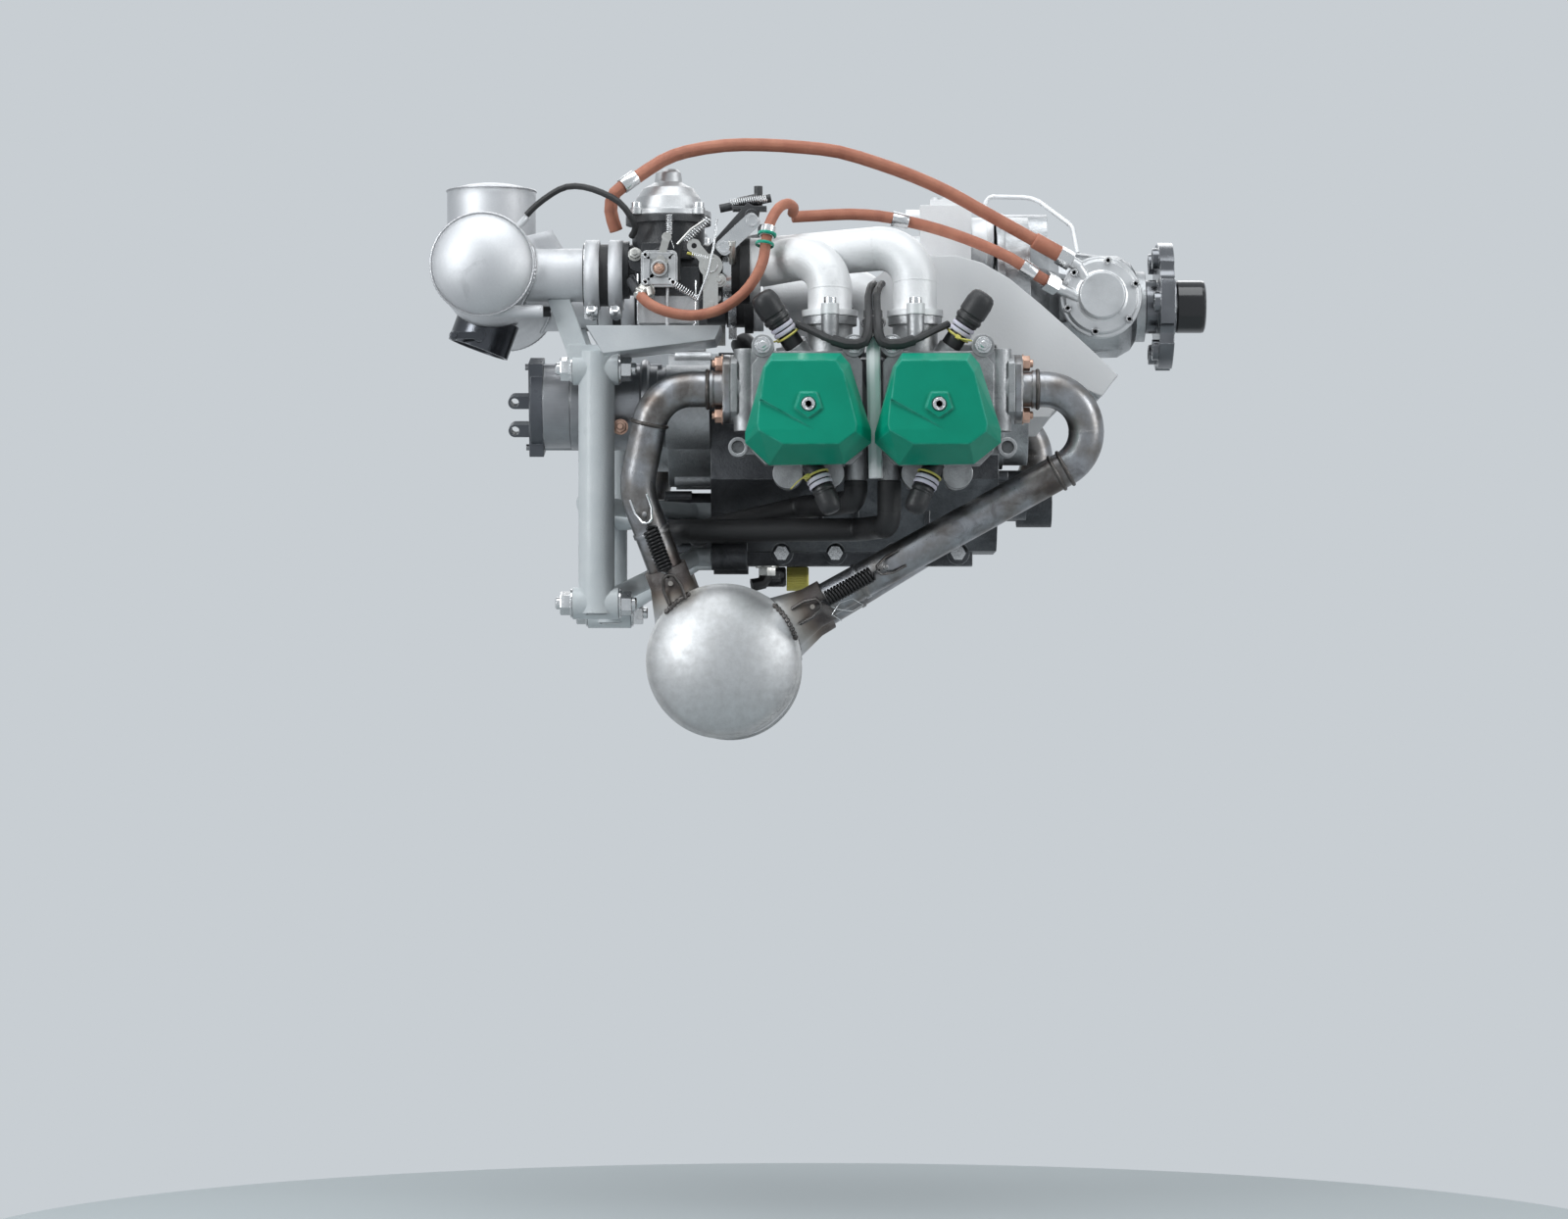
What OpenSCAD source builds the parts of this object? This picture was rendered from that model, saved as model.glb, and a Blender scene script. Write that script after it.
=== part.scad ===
// Flat four aircraft engine with reduction gearbox, airbox, exhaust and mount frame.
// Millimetres. X points forward along the crankshaft to the propeller, Y to the
// engine's left and Z up. The origin is the middle of the four mount bosses,
// on the plane of their rear faces.

/* [Layout] */
// Height of the crank axis above the middle of the mount
crank_z = 72; // [70:1:74]
// Distance from the crank axis up to the propeller axis
gear_centres = 111; // [108:1:114]
// Distance from the crank axis down to the camshaft axis
cam_centres = 72; // [70:1:73]
// Rear cylinder of the right bank, forward of the mounting plane
rear_cyl_x = 221; // [218:1:224]
// Distance between the two cylinders of a bank
cyl_pitch = 119; // [117:1:123]
// How far the left bank sits behind the right bank
bank_offset = 27; // [24:1:30]
// Distance from the engine's middle plane to the cylinder deck
deck_y = 95; // [92:1:98]
// Height of the valve cover's middle below the crank axis
cover_drop = 9; // [6:1:11]

/* [Crankcase] */
// Crankcase behind the left rear cylinder axis
case_rear_margin = 66; // [64:1:70]
// Crankcase in front of the right front cylinder axis
case_front_margin = 62; // [60:1:66]
// Top of the crankcase above the crank axis
case_top = 58; // [56:1:62]
// Bottom of the crankcase below the crank axis
case_bottom = 128; // [126:1:132]
// Height of the bolted flange under the crankcase
sump_flange = 13; // [10:1:18]
// Radius of the main bearing bores
main_r = 22; // [20:0.5:24]
// Running clearance of the bearings, on the radius
bearing_play = 0.05; // [0.03:0.01:0.09]
// Clearance between resting pieces
seat_gap = 0.3; // [0.2:0.05:0.4]

/* [Crankshaft] */
// Crank throw, half of the stroke
throw = 30.5; // [29:0.5:31]
// Radius of a crank pin
pin_r = 15; // [13:0.5:16]
// Thickness of a crank web
web_t = 7; // [6:0.5:8]
// Width of a crank pin between its webs
pin_w = 20; // [18:0.5:20]
// Teeth on the crank pinion
pinion_teeth = 22; // [22:1:22]
// Teeth on the propeller gear
gear_teeth = 50; // [50:1:50]
// Face width of the reduction gears
gear_w = 18; // [14:1:20]
// Face width of the timing gears
timing_w = 10; // [8:1:11]
// Radius of the flywheel
flywheel_r = 56; // [50:1:58]

/* [Cylinders] */
// Cylinder bore
bore_d = 84; // [80:0.5:86]
// Length of a barrel from the deck to the head
barrel_len = 96; // [92:1:100]
// Outer radius of the cooling fins
fin_r = 56.5; // [52:0.5:57]
// Number of cooling fins
fin_count = 9; // [6:1:10]
// Thickness of a cooling fin
fin_t = 2.4; // [1.6:0.1:3]
// Radius of a pushrod tube
pushrod_r = 10; // [8:0.5:11]

/* [Cylinder heads] */
// Depth of a head along the cylinder axis
head_depth = 54; // [50:1:58]
// Depth of a valve cover
cover_depth = 43; // [40:1:46]
// Wall of a valve cover
cover_wall = 3; // [2.5:0.5:4]
// Exhaust flange face from the cylinder axis
port_reach = 72; // [70:1:74]
// Exhaust port above the crank axis
port_rise = 15; // [13:1:17]
// Distance between the two studs of an exhaust flange
stud_pitch = 48; // [46:1:52]
// Top of the intake stubs above the crank axis
intake_rise = 82; // [80:1:84]
// Intake stub inboard of the cylinder axis
intake_in = 20; // [18:1:22]
// Distance between the two screws of an intake flange
intake_screws = 56; // [54:1:60]

/* [Mount frame] */
// Distance between the two upright tubes
mount_w = 300; // [300:2:306]
// Distance between the upper and lower mount bolts
mount_h = 220; // [216:2:224]
// Radius of an upright tube
upright_r = 17; // [15:0.5:18]
// Radius of the mount bolt bores
mount_bore_r = 5.25; // [4.25:0.25:6.25]
// Length of a mount boss
boss_len = 43; // [40:1:46]
// Radius of a mount boss
boss_r = 15; // [13:0.5:17]

/* [Airbox] */
// Radius of the airbox drum
drum_r = 48; // [45:0.5:50]
// Length of the drum without its domed ends
drum_len = 370; // [360:2:380]
// Distance of the drum axis behind the mounting plane
drum_back = 83; // [81:1:86]
// Height of the drum axis
drum_z = 205; // [203:1:207]
// Sheet thickness of the airbox
sheet_t = 2; // [1.5:0.25:3]
// Radius of the riser on top of the drum
riser_r = 43; // [38:1:46]
// Top of the riser above the drum axis
riser_rise = 98; // [90:1:104]
// Outer radius of the intake mouth ring
mouth_r = 30; // [27:0.5:32]

/* [Carburettors] */
// Distance of a carburettor from the middle plane
carb_y = 150; // [150:1:152]
// Height of the carburettor bores
carb_z = 203; // [201:1:205]
// Rear face of the carburettor bodies
carb_x = 49; // [47:1:51]
// Radius of the throttle bore
venturi_r = 18; // [16:0.5:19]
// Radius of the carburettor's spigots
spigot_r = 25; // [23:0.5:26]
// Radius of the diaphragm chamber
chamber_r = 36; // [33:0.5:38]

/* [Exhaust] */
// Outer radius of the exhaust pipes
pipe_r = 16.5; // [15:0.5:18]
// Wall of the exhaust pipes
pipe_wall = 1.5; // [1:0.25:2]
// Bend radius of the front exhaust bends
bend_r = 39; // [36:1:42]
// Radius of the muffler drum
muffler_r = 70; // [66:1:74]
// Length of the muffler without its domed ends
muffler_len = 370; // [360:2:380]
// Muffler axis forward of the mounting plane
muffler_x = 142; // [138:1:146]
// Muffler axis below the middle of the mount
muffler_drop = 165; // [162:1:170]

/* [Gearbox and propeller shaft] */
// Wall of the gearbox
gearbox_wall = 5; // [4:0.5:6]
// Length of the gearbox from the crankcase to its nose
gearbox_len = 145; // [140:1:150]
// Radius of the propeller shaft in its bearing
shaft_r = 20; // [17:0.5:22]
// Radius of the propeller flange
flange_r = 62; // [60:0.5:66]
// Thickness of the propeller flange
flange_t = 14; // [10:1:16]
// Pitch circle of the propeller bolts
prop_pcd = 101.6; // [96:0.1:104]
// Radius of the propeller bolt holes
prop_bolt_r = 6.5; // [4.5:0.25:7]
// Radius of the fuel pump's flange
pump_r = 39.5; // [36:0.5:42]
// Fuel pump axis forward of the crankcase
pump_ahead = 99; // [94:1:102]

/* [Starter] */
// Radius of the starter drum
starter_r = 40; // [36:0.5:40]
// Length of the starter drum
starter_len = 116; // [110:1:120]
// Distance of the starter from the middle plane
starter_y = 92; // [91:0.5:92]
// Diameter of the bracket's ear holes
ear_hole_d = 8; // [6:0.5:9]

/* [Hidden] */
$fn = 48;

// Sides: -1 is the engine's right, +1 its left. Cylinders 1 and 3 are on the right.
RIGHT = -1;
LEFT = 1;
SIDES = [RIGHT, LEFT];
CYLINDERS = [1, 2, 3, 4];

front_cyl_x = rear_cyl_x + cyl_pitch;
case_x0 = rear_cyl_x - bank_offset - case_rear_margin;
case_x1 = front_cyl_x + case_front_margin;
prop_z = crank_z + gear_centres;
cam_z = crank_z - cam_centres;
head_y = deck_y + barrel_len;
cover_y = head_y + head_depth;
port_y = head_y + 9;
bore_r = bore_d / 2;

// Gears: one module for each pair, from its centre distance
reduction_m = 2 * gear_centres / (pinion_teeth + gear_teeth);
timing_teeth = 24;
timing_m = 2 * cam_centres / (3 * timing_teeth);
gear_x = case_x1 + 3;
gear_tip_r = gear_teeth * reduction_m / 2 + reduction_m;
pinion_tip_r = pinion_teeth * reduction_m / 2 + reduction_m;
nose_x = case_x1 + gearbox_len;
flange_x = nose_x + 12;
pump_x = case_x1 + pump_ahead;
cam_bearing_r = 11;

// Distances that place the covers, the ignition housing and the rear accessories
ignition_x0 = case_x0 - 42;
ignition_r = flywheel_r + 8;
stator_x0 = ignition_x0 - 28;
starter_z = crank_z + 6.5;
starter_x1 = ignition_x0;
starter_x0 = starter_x1 - starter_len;
upright_x = 22;
muffler_z = -muffler_drop;
drum_x = -drum_back;
sleeve_x = 23;
socket_z = carb_z - 5;
carb_len = 89;
spigot_len = 12;
carb_x1 = carb_x + carb_len;
chamber_x = carb_x + 40.5;
shaft_x = carb_x + 81;
manifold_x = carb_x + 117;
intake_y = head_y + 9;
intake_z = crank_z + intake_rise;
intake_flange_t = 6;
governor_y = 40;
governor_z = prop_z + 67;

function cyl_side(i) = i % 2 == 1 ? RIGHT : LEFT;
function cyl_front(i) = i < 3;
function cyl_x(i) = (cyl_front(i) ? front_cyl_x : rear_cyl_x) - (cyl_side(i) == LEFT ? bank_offset : 0);
function side_shift(s) = s == LEFT ? -bank_offset : 0;

// Helpers for placing

module on_side(s) mirror([0, s < 0 ? 1 : 0, 0]) children();

// Frame of a cylinder: X to its exhaust side, Y outward along the bore, Z up from the crank axis
module at_cylinder(i) {
    translate([cyl_x(i), 0, crank_z])
        mirror([cyl_front(i) ? 0 : 1, 0, 0])
            mirror([0, cyl_side(i) < 0 ? 1 : 0, 0])
                children();
}

module rod_x(x0, x1, r, y = 0, z = 0) {
    translate([x0, y, z]) rotate([0, 90, 0]) cylinder(r = r, h = x1 - x0);
}

module rod_y(y0, y1, r, x = 0, z = 0) {
    translate([x, y0, z]) rotate([-90, 0, 0]) cylinder(r = r, h = y1 - y0);
}

module rod_z(z0, z1, r, x = 0, y = 0) {
    translate([x, y, z0]) cylinder(r = r, h = z1 - z0);
}

module box(lo, hi) translate(lo) cube(hi - lo);

// Plate from a YZ outline, between x0 and x0 + t
module plate_x(x0, t) translate([x0, 0, 0]) rotate([90, 0, 90]) linear_extrude(t) children();

// Plate from an XZ outline, between y0 and y0 + t
module plate_y(y0, t) translate([0, y0 + t, 0]) rotate([90, 0, 0]) linear_extrude(t) children();

// Round bar between two points
module rod(a, b, r, r2 = undef) {
    v = b - a;
    translate(a)
        rotate([0, acos(v.z / norm(v)), atan2(v.y, v.x)])
            cylinder(r1 = r, r2 = is_undef(r2) ? r : r2, h = norm(v));
}

// Children's Z axis points from a to b, starting at a
module aim(a, b) {
    v = b - a;
    translate(a) rotate([0, acos(v.z / norm(v)), atan2(v.y, v.x)]) children();
}

function unit(v) = v / norm(v);
function turn(p, q, s) = acos(max(-1, min(1, unit(q - p) * unit(s - q))));
function trim(p, q, s, bend) = bend * tan(turn(p, q, s) / 2);

// Tube with true round bends through corner points, bends[i] at point i + 1
module bent_rod(pts, bends, r) {
    last = len(pts) - 1;
    for (i = [0:last - 1]) {
        p = pts[i];
        q = pts[i + 1];
        cut_p = i == 0 ? 0 : trim(pts[i - 1], p, q, bends[i - 1]);
        cut_q = i == last - 1 ? 0 : trim(p, q, pts[i + 2], bends[i]);
        d = unit(q - p);
        start = p + d * (cut_p + (i == 0 ? 0 : joint_gap));
        end = q - d * (cut_q + (i == last - 1 ? 0 : joint_gap));
        rod(start, end, r);
        // A thin weld collar covers the joint to each bend
        if (i > 0) rod(start - d * collar_w / 2, start + d * collar_w / 2, r + collar_rise);
        if (i < last - 1) rod(end - d * collar_w / 2, end + d * collar_w / 2, r + collar_rise);
    }
    for (i = [1:last - 1]) elbow(pts[i - 1], pts[i], pts[i + 1], bends[i - 1], r);
}
joint_gap = 0.02;
collar_w = 1.2;
collar_rise = 0.15;

module elbow(p, q, s, bend, r) {
    d = unit(q - p);
    e = unit(s - q);
    inward = unit(e - d * (d * e));
    c = q - d * trim(p, q, s, bend) + inward * bend;
    n = cross(-inward, d);
    multmatrix([
        [-inward.x, d.x, n.x, c.x],
        [-inward.y, d.y, n.y, c.y],
        [-inward.z, d.z, n.z, c.z],
        [0, 0, 0, 1]
    ]) rotate_extrude(angle = turn(p, q, s)) translate([bend, 0]) circle(r);
}

// The same tube with a wall
module bent_tube(pts, bends, r, wall) {
    difference() {
        bent_rod(pts, bends, r);
        bent_rod(stretched(pts, 1), bends, r - wall);
    }
}

// The same route with both ends drawn out by e
function stretched(pts, e) = let (last = len(pts) - 1) [
    pts[0] - e * unit(pts[1] - pts[0]),
    for (i = [1:last - 1]) pts[i],
    pts[last] + e * unit(pts[last] - pts[last - 1])
];

// Hoses: one closed mesh swept along a smooth curve through hand-set points
function curve_point(p, i, t) =
    let (
        a = i == 0 ? 2 * p[0] - p[1] : p[i - 1],
        b = p[i],
        c = p[i + 1],
        d = i + 2 > len(p) - 1 ? 2 * p[len(p) - 1] - p[len(p) - 2] : p[i + 2]
    )
    0.5 * (2 * b + (c - a) * t + (2 * a - 5 * b + 4 * c - d) * t * t + (3 * b - a - 3 * c + d) * t * t * t);
function curve(p, steps) = [
    for (i = [0:len(p) - 2]) for (k = [0:steps - 1]) curve_point(p, i, k / steps),
    p[len(p) - 1]
];
function ring_points(c, d, r, sides, across) =
    let (n = unit(cross(d, across)), m = cross(n, d))
    [for (k = [0:sides - 1]) c + r * (cos(360 * k / sides) * n + sin(360 * k / sides) * m)];
module hose(points, r, sides = 8, steps = 2, across = [0, 1, 0]) {
    c = curve(points, steps);
    last = len(c) - 1;
    swept_rings([
        for (i = [0:last])
            ring_points(c[i], unit(c[min(i + 1, last)] - c[max(i - 1, 0)]), r, sides, across)
    ], sides);
}

// Closed skin through a row of rings of points
module swept_rings(rings, sides) {
    last = len(rings) - 1;
    polyhedron(
        points = [for (ring = rings) each ring],
        faces = concat(
            [[for (k = [sides - 1:-1:0]) k]],
            [[for (k = [0:sides - 1]) last * sides + k]],
            [
                for (i = [0:last - 1]) for (k = [0:sides - 1])
                    let (a = i * sides + k, b = i * sides + (k + 1) % sides)
                    each [[a, b + sides, a + sides], [a, b, b + sides]]
            ]
        )
    );
}

// Involute spur gear outline, with play as a share of the tooth
function inv(a) = tan(a) * 180 / PI - a;
function half_tooth(r, pitch_r, n, play) =
    90 / n * (1 - play) + inv(20) - inv(acos(min(1, pitch_r * cos(20) / r)));
module gear_outline(n, m, play = 0.14) {
    pitch_r = n * m / 2;
    base_r = pitch_r * cos(20);
    tip_r = pitch_r + 0.9 * m;
    root_r = pitch_r - 1.25 * m;
    radii = [max(base_r, root_r), pitch_r, tip_r];
    polygon([
        for (k = [0:n - 1]) let (mid = 90 + 360 * k / n) each [
            for (j = [0:3]) let (
                r = j == 0 ? root_r : radii[j - 1],
                a = mid - half_tooth(radii[max(j - 1, 0)], pitch_r, n, play)
            ) r * [cos(a), sin(a)],
            for (j = [3:-1:0]) let (
                r = j == 0 ? root_r : radii[j - 1],
                a = mid + half_tooth(radii[max(j - 1, 0)], pitch_r, n, play)
            ) r * [cos(a), sin(a)]
        ]
    ]);
}

// Outline round two circles, one above the other, as exact arcs and tangents
module pear(r_low, z_low, r_high, z_high) {
    d = z_high - z_low;
    a = asin((r_high - r_low) / d);
    translate([0, z_low]) circle(r_low);
    translate([0, z_high]) circle(r_high);
    polygon([
        [r_low * cos(a), z_low - r_low * sin(a)],
        [r_high * cos(a), z_high - r_high * sin(a)],
        [-r_high * cos(a), z_high - r_high * sin(a)],
        [-r_low * cos(a), z_low - r_low * sin(a)]
    ]);
}

module hex(across, h) cylinder(r = across / sqrt(3), h = h, $fn = 6);

// Crankcase

// Half section of the crankcase, from the middle plane to the deck
module case_section() {
    polygon([
        [0, case_top], [46, case_top], [62, case_top - 4], [deck_y, case_top - 6],
        [deck_y, -62], [76, -88], [56, -case_bottom + 12], [40, -case_bottom],
        [0, -case_bottom]
    ]);
}

function case_bolt_xs() = [case_x0 + 20, case_x0 + 67, case_x0 + 119, case_x0 + 175, case_x1 - 36];
case_bolt_z = -case_bottom - 1;
case_ear_r = 11;

module crankcase_half(s) {
    pocket_xs = [rear_cyl_x, front_cyl_x];
    difference() {
        translate([0, 0, crank_z]) on_side(s) {
            plate_x(case_x0, case_x1 - case_x0) case_section();
            // Split flange along the bottom, with a round ear at each bolt
            box([case_x0, 0, -case_bottom - sump_flange], [case_x1 - 22, 11, -case_bottom + 6]);
            for (x = case_bolt_xs()) rod_y(0, 13, case_ear_r, x, case_bolt_z);
            // Split flange along the top
            box([case_x0 + 6, 0, case_top - 1], [case_x1 - 6, 8, case_top + 8]);
            // Cylinder pads and ribs below them
            for (x = pocket_xs)
                rod_y(deck_y - 12, deck_y, fin_r + 2, x + side_shift(s), 0);
            for (x = [case_x0 + 34:34:case_x1 - 34])
                box([x, 60, -110], [x + 5, 74, -70]);
            // Lugs that the frame's struts bolt to
            for (z = strut_zs()) rod_x(case_x0, case_x0 + 34, strut_r + 4, strut_y, z - crank_z);
            // Round pad under the oil pump
            rod_x(case_x1 - 12, case_x1, 30, 0, -cam_centres);
        }
        // The far half of round pieces on the middle plane
        on_side(-s) box([case_x0 - 1, 0, -120], [case_x1 + 1, 60, 200]);
        // Main bearing bores and crank pockets
        rod_x(case_x0 - 1, case_x1 + 1, main_r + bearing_play, 0, crank_z);
        for (x = pocket_xs)
            rod_x(x - bank_offset / 2 - crank_pocket_w / 2, x - bank_offset / 2 + crank_pocket_w / 2,
                crank_pocket_r, 0, crank_z);
        // Camshaft bore, its pockets and the timing gear pocket
        rod_x(case_x0 - 1, case_x1 + 1, cam_bearing_r + bearing_play, 0, cam_z);
        for (x = pocket_xs)
            rod_x(x - bank_offset / 2 - crank_pocket_w / 2, x - bank_offset / 2 + crank_pocket_w / 2, 18, 0, cam_z);
        rod_x(case_x0 - 1, case_x0 + timing_w + 3, timing_teeth * timing_m + timing_m + 1, 0, cam_z);
        rod_x(case_x0 - 1, case_x0 + timing_w + 3, timing_teeth * timing_m / 2 + timing_m + 1, 0, crank_z);
        // Cylinder spigot bores and pushrod openings
        for (x = pocket_xs) {
            on_side(s) rod_y(crank_pocket_r - 10, deck_y + 1, bore_r + 4.3, x + side_shift(s), crank_z);
            for (a = [-pushrod_a, pushrod_a])
                on_side(s) rod_y(40, deck_y + 1, pushrod_r - 1.4, x + side_shift(s) + a, crank_z - pushrod_c);
        }
        // Bolt holes through the split flange
        for (x = case_bolt_xs()) on_side(s) {
            rod_y(-1, 20, 4.2, x, crank_z + case_bolt_z);
            rod_y(13, 50, 9, x, crank_z + case_bolt_z);
        }
        // Drain plug thread
        rod_z(crank_z - case_bottom - 20, crank_z - case_bottom + 16, 8, drain_x, 0);
    }
}
crank_pocket_r = throw + pin_r + 5;
crank_pocket_w = bank_offset + pin_w + 2 * web_t + 4;
drain_x = case_x0 + 82;
sump_z = crank_z - case_bottom - sump_flange;

module crankcase_right() color("#8e9498") crankcase_half(RIGHT);

module crankcase_left() color("#8e9498") crankcase_half(LEFT);

module drain_cap() {
    color("#a99a3c") {
        rod_z(sump_z - 22, sump_z - seat_gap, 13, drain_x, 0);
        rod_z(sump_z - 1, sump_z + sump_flange + 12, 7.9, drain_x, 0);
    }
}

module case_bolts() {
    color("#b9bdc0") {
        for (x = case_bolt_xs()) translate([x, 0, crank_z + case_bolt_z]) {
            rod_y(-13, 13, 4);
            for (s = SIDES) on_side(s) translate([0, 13, 0]) rotate([-90, 0, 0]) hex(13, 6);
        }
        // Head nuts, two at the top and two below on each head
        for (i = CYLINDERS) at_cylinder(i) for (a = [-head_stud_a, head_stud_a])
            translate([a, head_y + 40, head_stud_c]) rotate([-90, 0, 0]) hex(14, 7);
    }
}
head_stud_a = 42;
head_stud_c = 53;

// Cylinders and pistons

module barrel(i) {
    fin_step = (barrel_len - 14) / fin_count;
    color("#5c6064") at_cylinder(i) {
        difference() {
            union() {
                rotate([-90, 0, 0]) rotate_extrude() polygon([
                    [bore_r, deck_y - 16], [bore_r + 4, deck_y - 16], [bore_r + 4, deck_y],
                    [fin_r, deck_y], [fin_r, deck_y + 7], [bore_r + 5, deck_y + 7],
                    for (k = [0:fin_count - 1]) let (y = deck_y + 7 + (k + 0.6) * fin_step) each [
                        [bore_r + 5, y], [fin_r, y + 0.4], [fin_r, y + fin_t - 0.4], [bore_r + 5, y + fin_t]
                    ],
                    [bore_r + 5, head_y], [bore_r, head_y]
                ]);
            }
            // Notches in the fins for the pushrod tubes
            for (a = [-pushrod_a, pushrod_a])
                rod_y(deck_y + 7.5, head_y + 1, pushrod_r + 2, a, -pushrod_c);
        }
    }
}
pushrod_a = 19;
pushrod_c = 64;

module cylinder_1() barrel(1);

module cylinder_2() barrel(2);

module cylinder_3() barrel(3);

module cylinder_4() barrel(4);

// Each piston rests where its crank throw holds it: the right bank at one end, the left at the other
module pistons() {
    rod_len = 104;
    crown = 30;
    color("#c3c6c8") for (i = CYLINDERS) at_cylinder(i)
        difference() {
            rod_y(rod_len - crown, rod_len + 24, bore_r - bearing_play);
            rod_y(rod_len - crown - 1, rod_len + 16, bore_r - 6);
            translate([-bore_r, rod_len - 6, 0]) rod_x(0, 2 * bore_r, 9);
            for (k = [0:2]) difference() {
                rod_y(rod_len + 10 + 4 * k, rod_len + 11.5 + 4 * k, bore_r + 1);
                rod_y(rod_len + 9 + 4 * k, rod_len + 13 + 4 * k, bore_r - 2);
            }
        }
}

module pushrod_tubes() {
    color("#9aa0a4") for (i = CYLINDERS) at_cylinder(i) for (a = [-pushrod_a, pushrod_a])
        difference() {
            union() {
                rod_y(deck_y - 10, head_y - seat_gap, pushrod_r - 1.5, a, -pushrod_c);
                rod_y(head_y - 12, head_y - seat_gap, pushrod_r, a, -pushrod_c);
            }
            rod_y(deck_y - 11, head_y + 1, pushrod_r - 3.5, a, -pushrod_c);
        }
}

// Cylinder heads

// Cover outline seen from outside, about the cover's middle
cover_outline = [
    [-33, 53], [29.5, 53], [38, 43], [57.5, -17.4], [57.5, -29],
    [33, -48.5], [-36, -49.5], [-58, -29], [-58, -20], [-41.8, 39.8]
];
cover_plateau = [
    [-34, 44], [25, 44], [32, 33], [44, -14], [43, -21], [27.6, -32.5], [-23, -32.5],
    [-45, -20], [-46.5, -14], [-40, 37]
];

module head(i) {
    mid_c = -cover_drop;
    outward = cyl_side(i) * (cyl_front(i) ? 1 : -1);
    color("#a4a9ac") at_cylinder(i) difference() {
        union() {
            // Combustion end and rocker box
            plate_y(head_y, 36) polygon([
                [-50, -46], [-40, -56], [40, -56], [52, -44], [52, 36], [42, 48], [-42, 48], [-50, 38]
            ]);
            translate([0, 0, mid_c]) plate_y(head_y + 30, head_depth - 30 - 6)
                mirror([outward > 0 ? 1 : 0, 0, 0]) scale(0.93) polygon(cover_outline);
            translate([0, 0, mid_c]) plate_y(cover_y - 6, 6)
                mirror([outward > 0 ? 1 : 0, 0, 0]) polygon(cover_outline);
            // Bosses for the head nuts
            for (a = [-head_stud_a, head_stud_a]) rod_y(head_y, head_y + 40, 10.5, a, head_stud_c);
            // Pushrod seats under the head
            for (a = [-pushrod_a, pushrod_a]) {
                rod_y(head_y, head_y + 30, pushrod_r + 4, a, -pushrod_c);
                box([a - pushrod_r, head_y, -pushrod_c], [a + pushrod_r, head_y + 30, -50]);
            }
            // Exhaust port, its water jacket and flange
            rod_x(30, port_reach - 3, 22, port_y, port_rise);
            box([30, port_y - 8, port_rise - 34], [62, port_y + 22, port_rise + 34]);
            rod_z(port_rise - 40, port_rise + 36, 11, 58, port_y + 12);
            exhaust_plate(port_reach - 6, 6 - seat_gap / 2);
            // Intake stub with its flange ears
            rod_z(30, intake_rise - 2, 21, -intake_in, intake_y);
            rod_z(intake_rise - 8, intake_rise - seat_gap / 2, 25, -intake_in, intake_y);
            for (d = [-0.5, 0.5])
                rod_z(intake_rise - 24, intake_rise - seat_gap / 2, 8, -intake_in, intake_y + d * intake_screws);
            box([-intake_in - 8, intake_y - intake_screws / 2, intake_rise - 8],
                [-intake_in + 8, intake_y + intake_screws / 2, intake_rise - seat_gap / 2]);
            // Spark plug bosses above and below
            for (p = plug_axes()) rod(p[0] - unit(p[1] - p[0]) * 14, p[0], 11);
            // Coolant inlet below and outlet towards the exhaust
            rod_z(-70, -40, 10, -inlet_in, port_y + 4);
            rod_y(port_y, port_y + 22, 9, port_reach - 7, -40);
            box([45, port_y, -46], [port_reach - 7, port_y + 12, -34]);
        }
        // Ports, intake, studs, plugs, pushrods and coolant, clear of the barrel's fins
        rod_x(24, 60, 8, port_y, port_rise);
        rod_x(58, port_reach + 1, pipe_r - pipe_wall, port_y, port_rise);
        rod_z(10, 62, 8, -intake_in, intake_y);
        rod_z(60, intake_rise + 1, 18, -intake_in, intake_y);
        for (d = [-0.5, 0.5]) {
            rod_x(port_reach - 20, port_reach + 1, 4.2, port_y, port_rise + d * stud_pitch);
            rod_z(intake_rise - 18, intake_rise + 1, 3.2, -intake_in, intake_y + d * intake_screws);
        }
        for (p = plug_axes()) rod(p[0] - unit(p[1] - p[0]) * 12, p[0] + unit(p[1] - p[0]), 7.1);
        for (a = [-head_stud_a, head_stud_a]) rod_y(head_y - 1, head_y + 41, 4.2, a, head_stud_c);
        for (a = [-pushrod_a, pushrod_a]) rod_y(head_y - 1, head_y + 24, pushrod_r - 3.5, a, -pushrod_c);
        rod_z(-71, -54, 7, -inlet_in, port_y + 4);
        rod_y(head_y - 40, head_y, fin_r + seat_gap, 0, 0);
        for (p = plug_axes()) rod(p[0] + 0.1 * unit(p[1] - p[0]), p[1] + unit(p[1] - p[0]) * 20, 11.5);
        rod_y(port_y + 6, port_y + 23, 6, port_reach - 7, -40);
        // Rocker box hollow
        translate([0, 0, mid_c]) plate_y(head_y + 38, head_depth)
            mirror([outward > 0 ? 1 : 0, 0, 0]) scale(0.82) polygon(cover_outline);
    }
}

inlet_in = 44;

// Plug seats as pairs of points, from the seat outward, in the cylinder frame
function plug_axes() = [
    [[12.5, head_y + 20, 54], [42, head_y + 29, 98]],
    [[-3, head_y + 42.5, -56], [-17, head_y + 50, -88]]
];

module exhaust_plate(a, t) {
    plate_x(a, t) intersection() {
        translate([port_y, port_rise]) circle(32);
        translate([port_y - 23, port_rise - 33]) square([46, 66]);
    }
}

module cylinder_head_1() head(1);

module cylinder_head_2() head(2);

module cylinder_head_3() head(3);

module cylinder_head_4() head(4);

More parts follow.
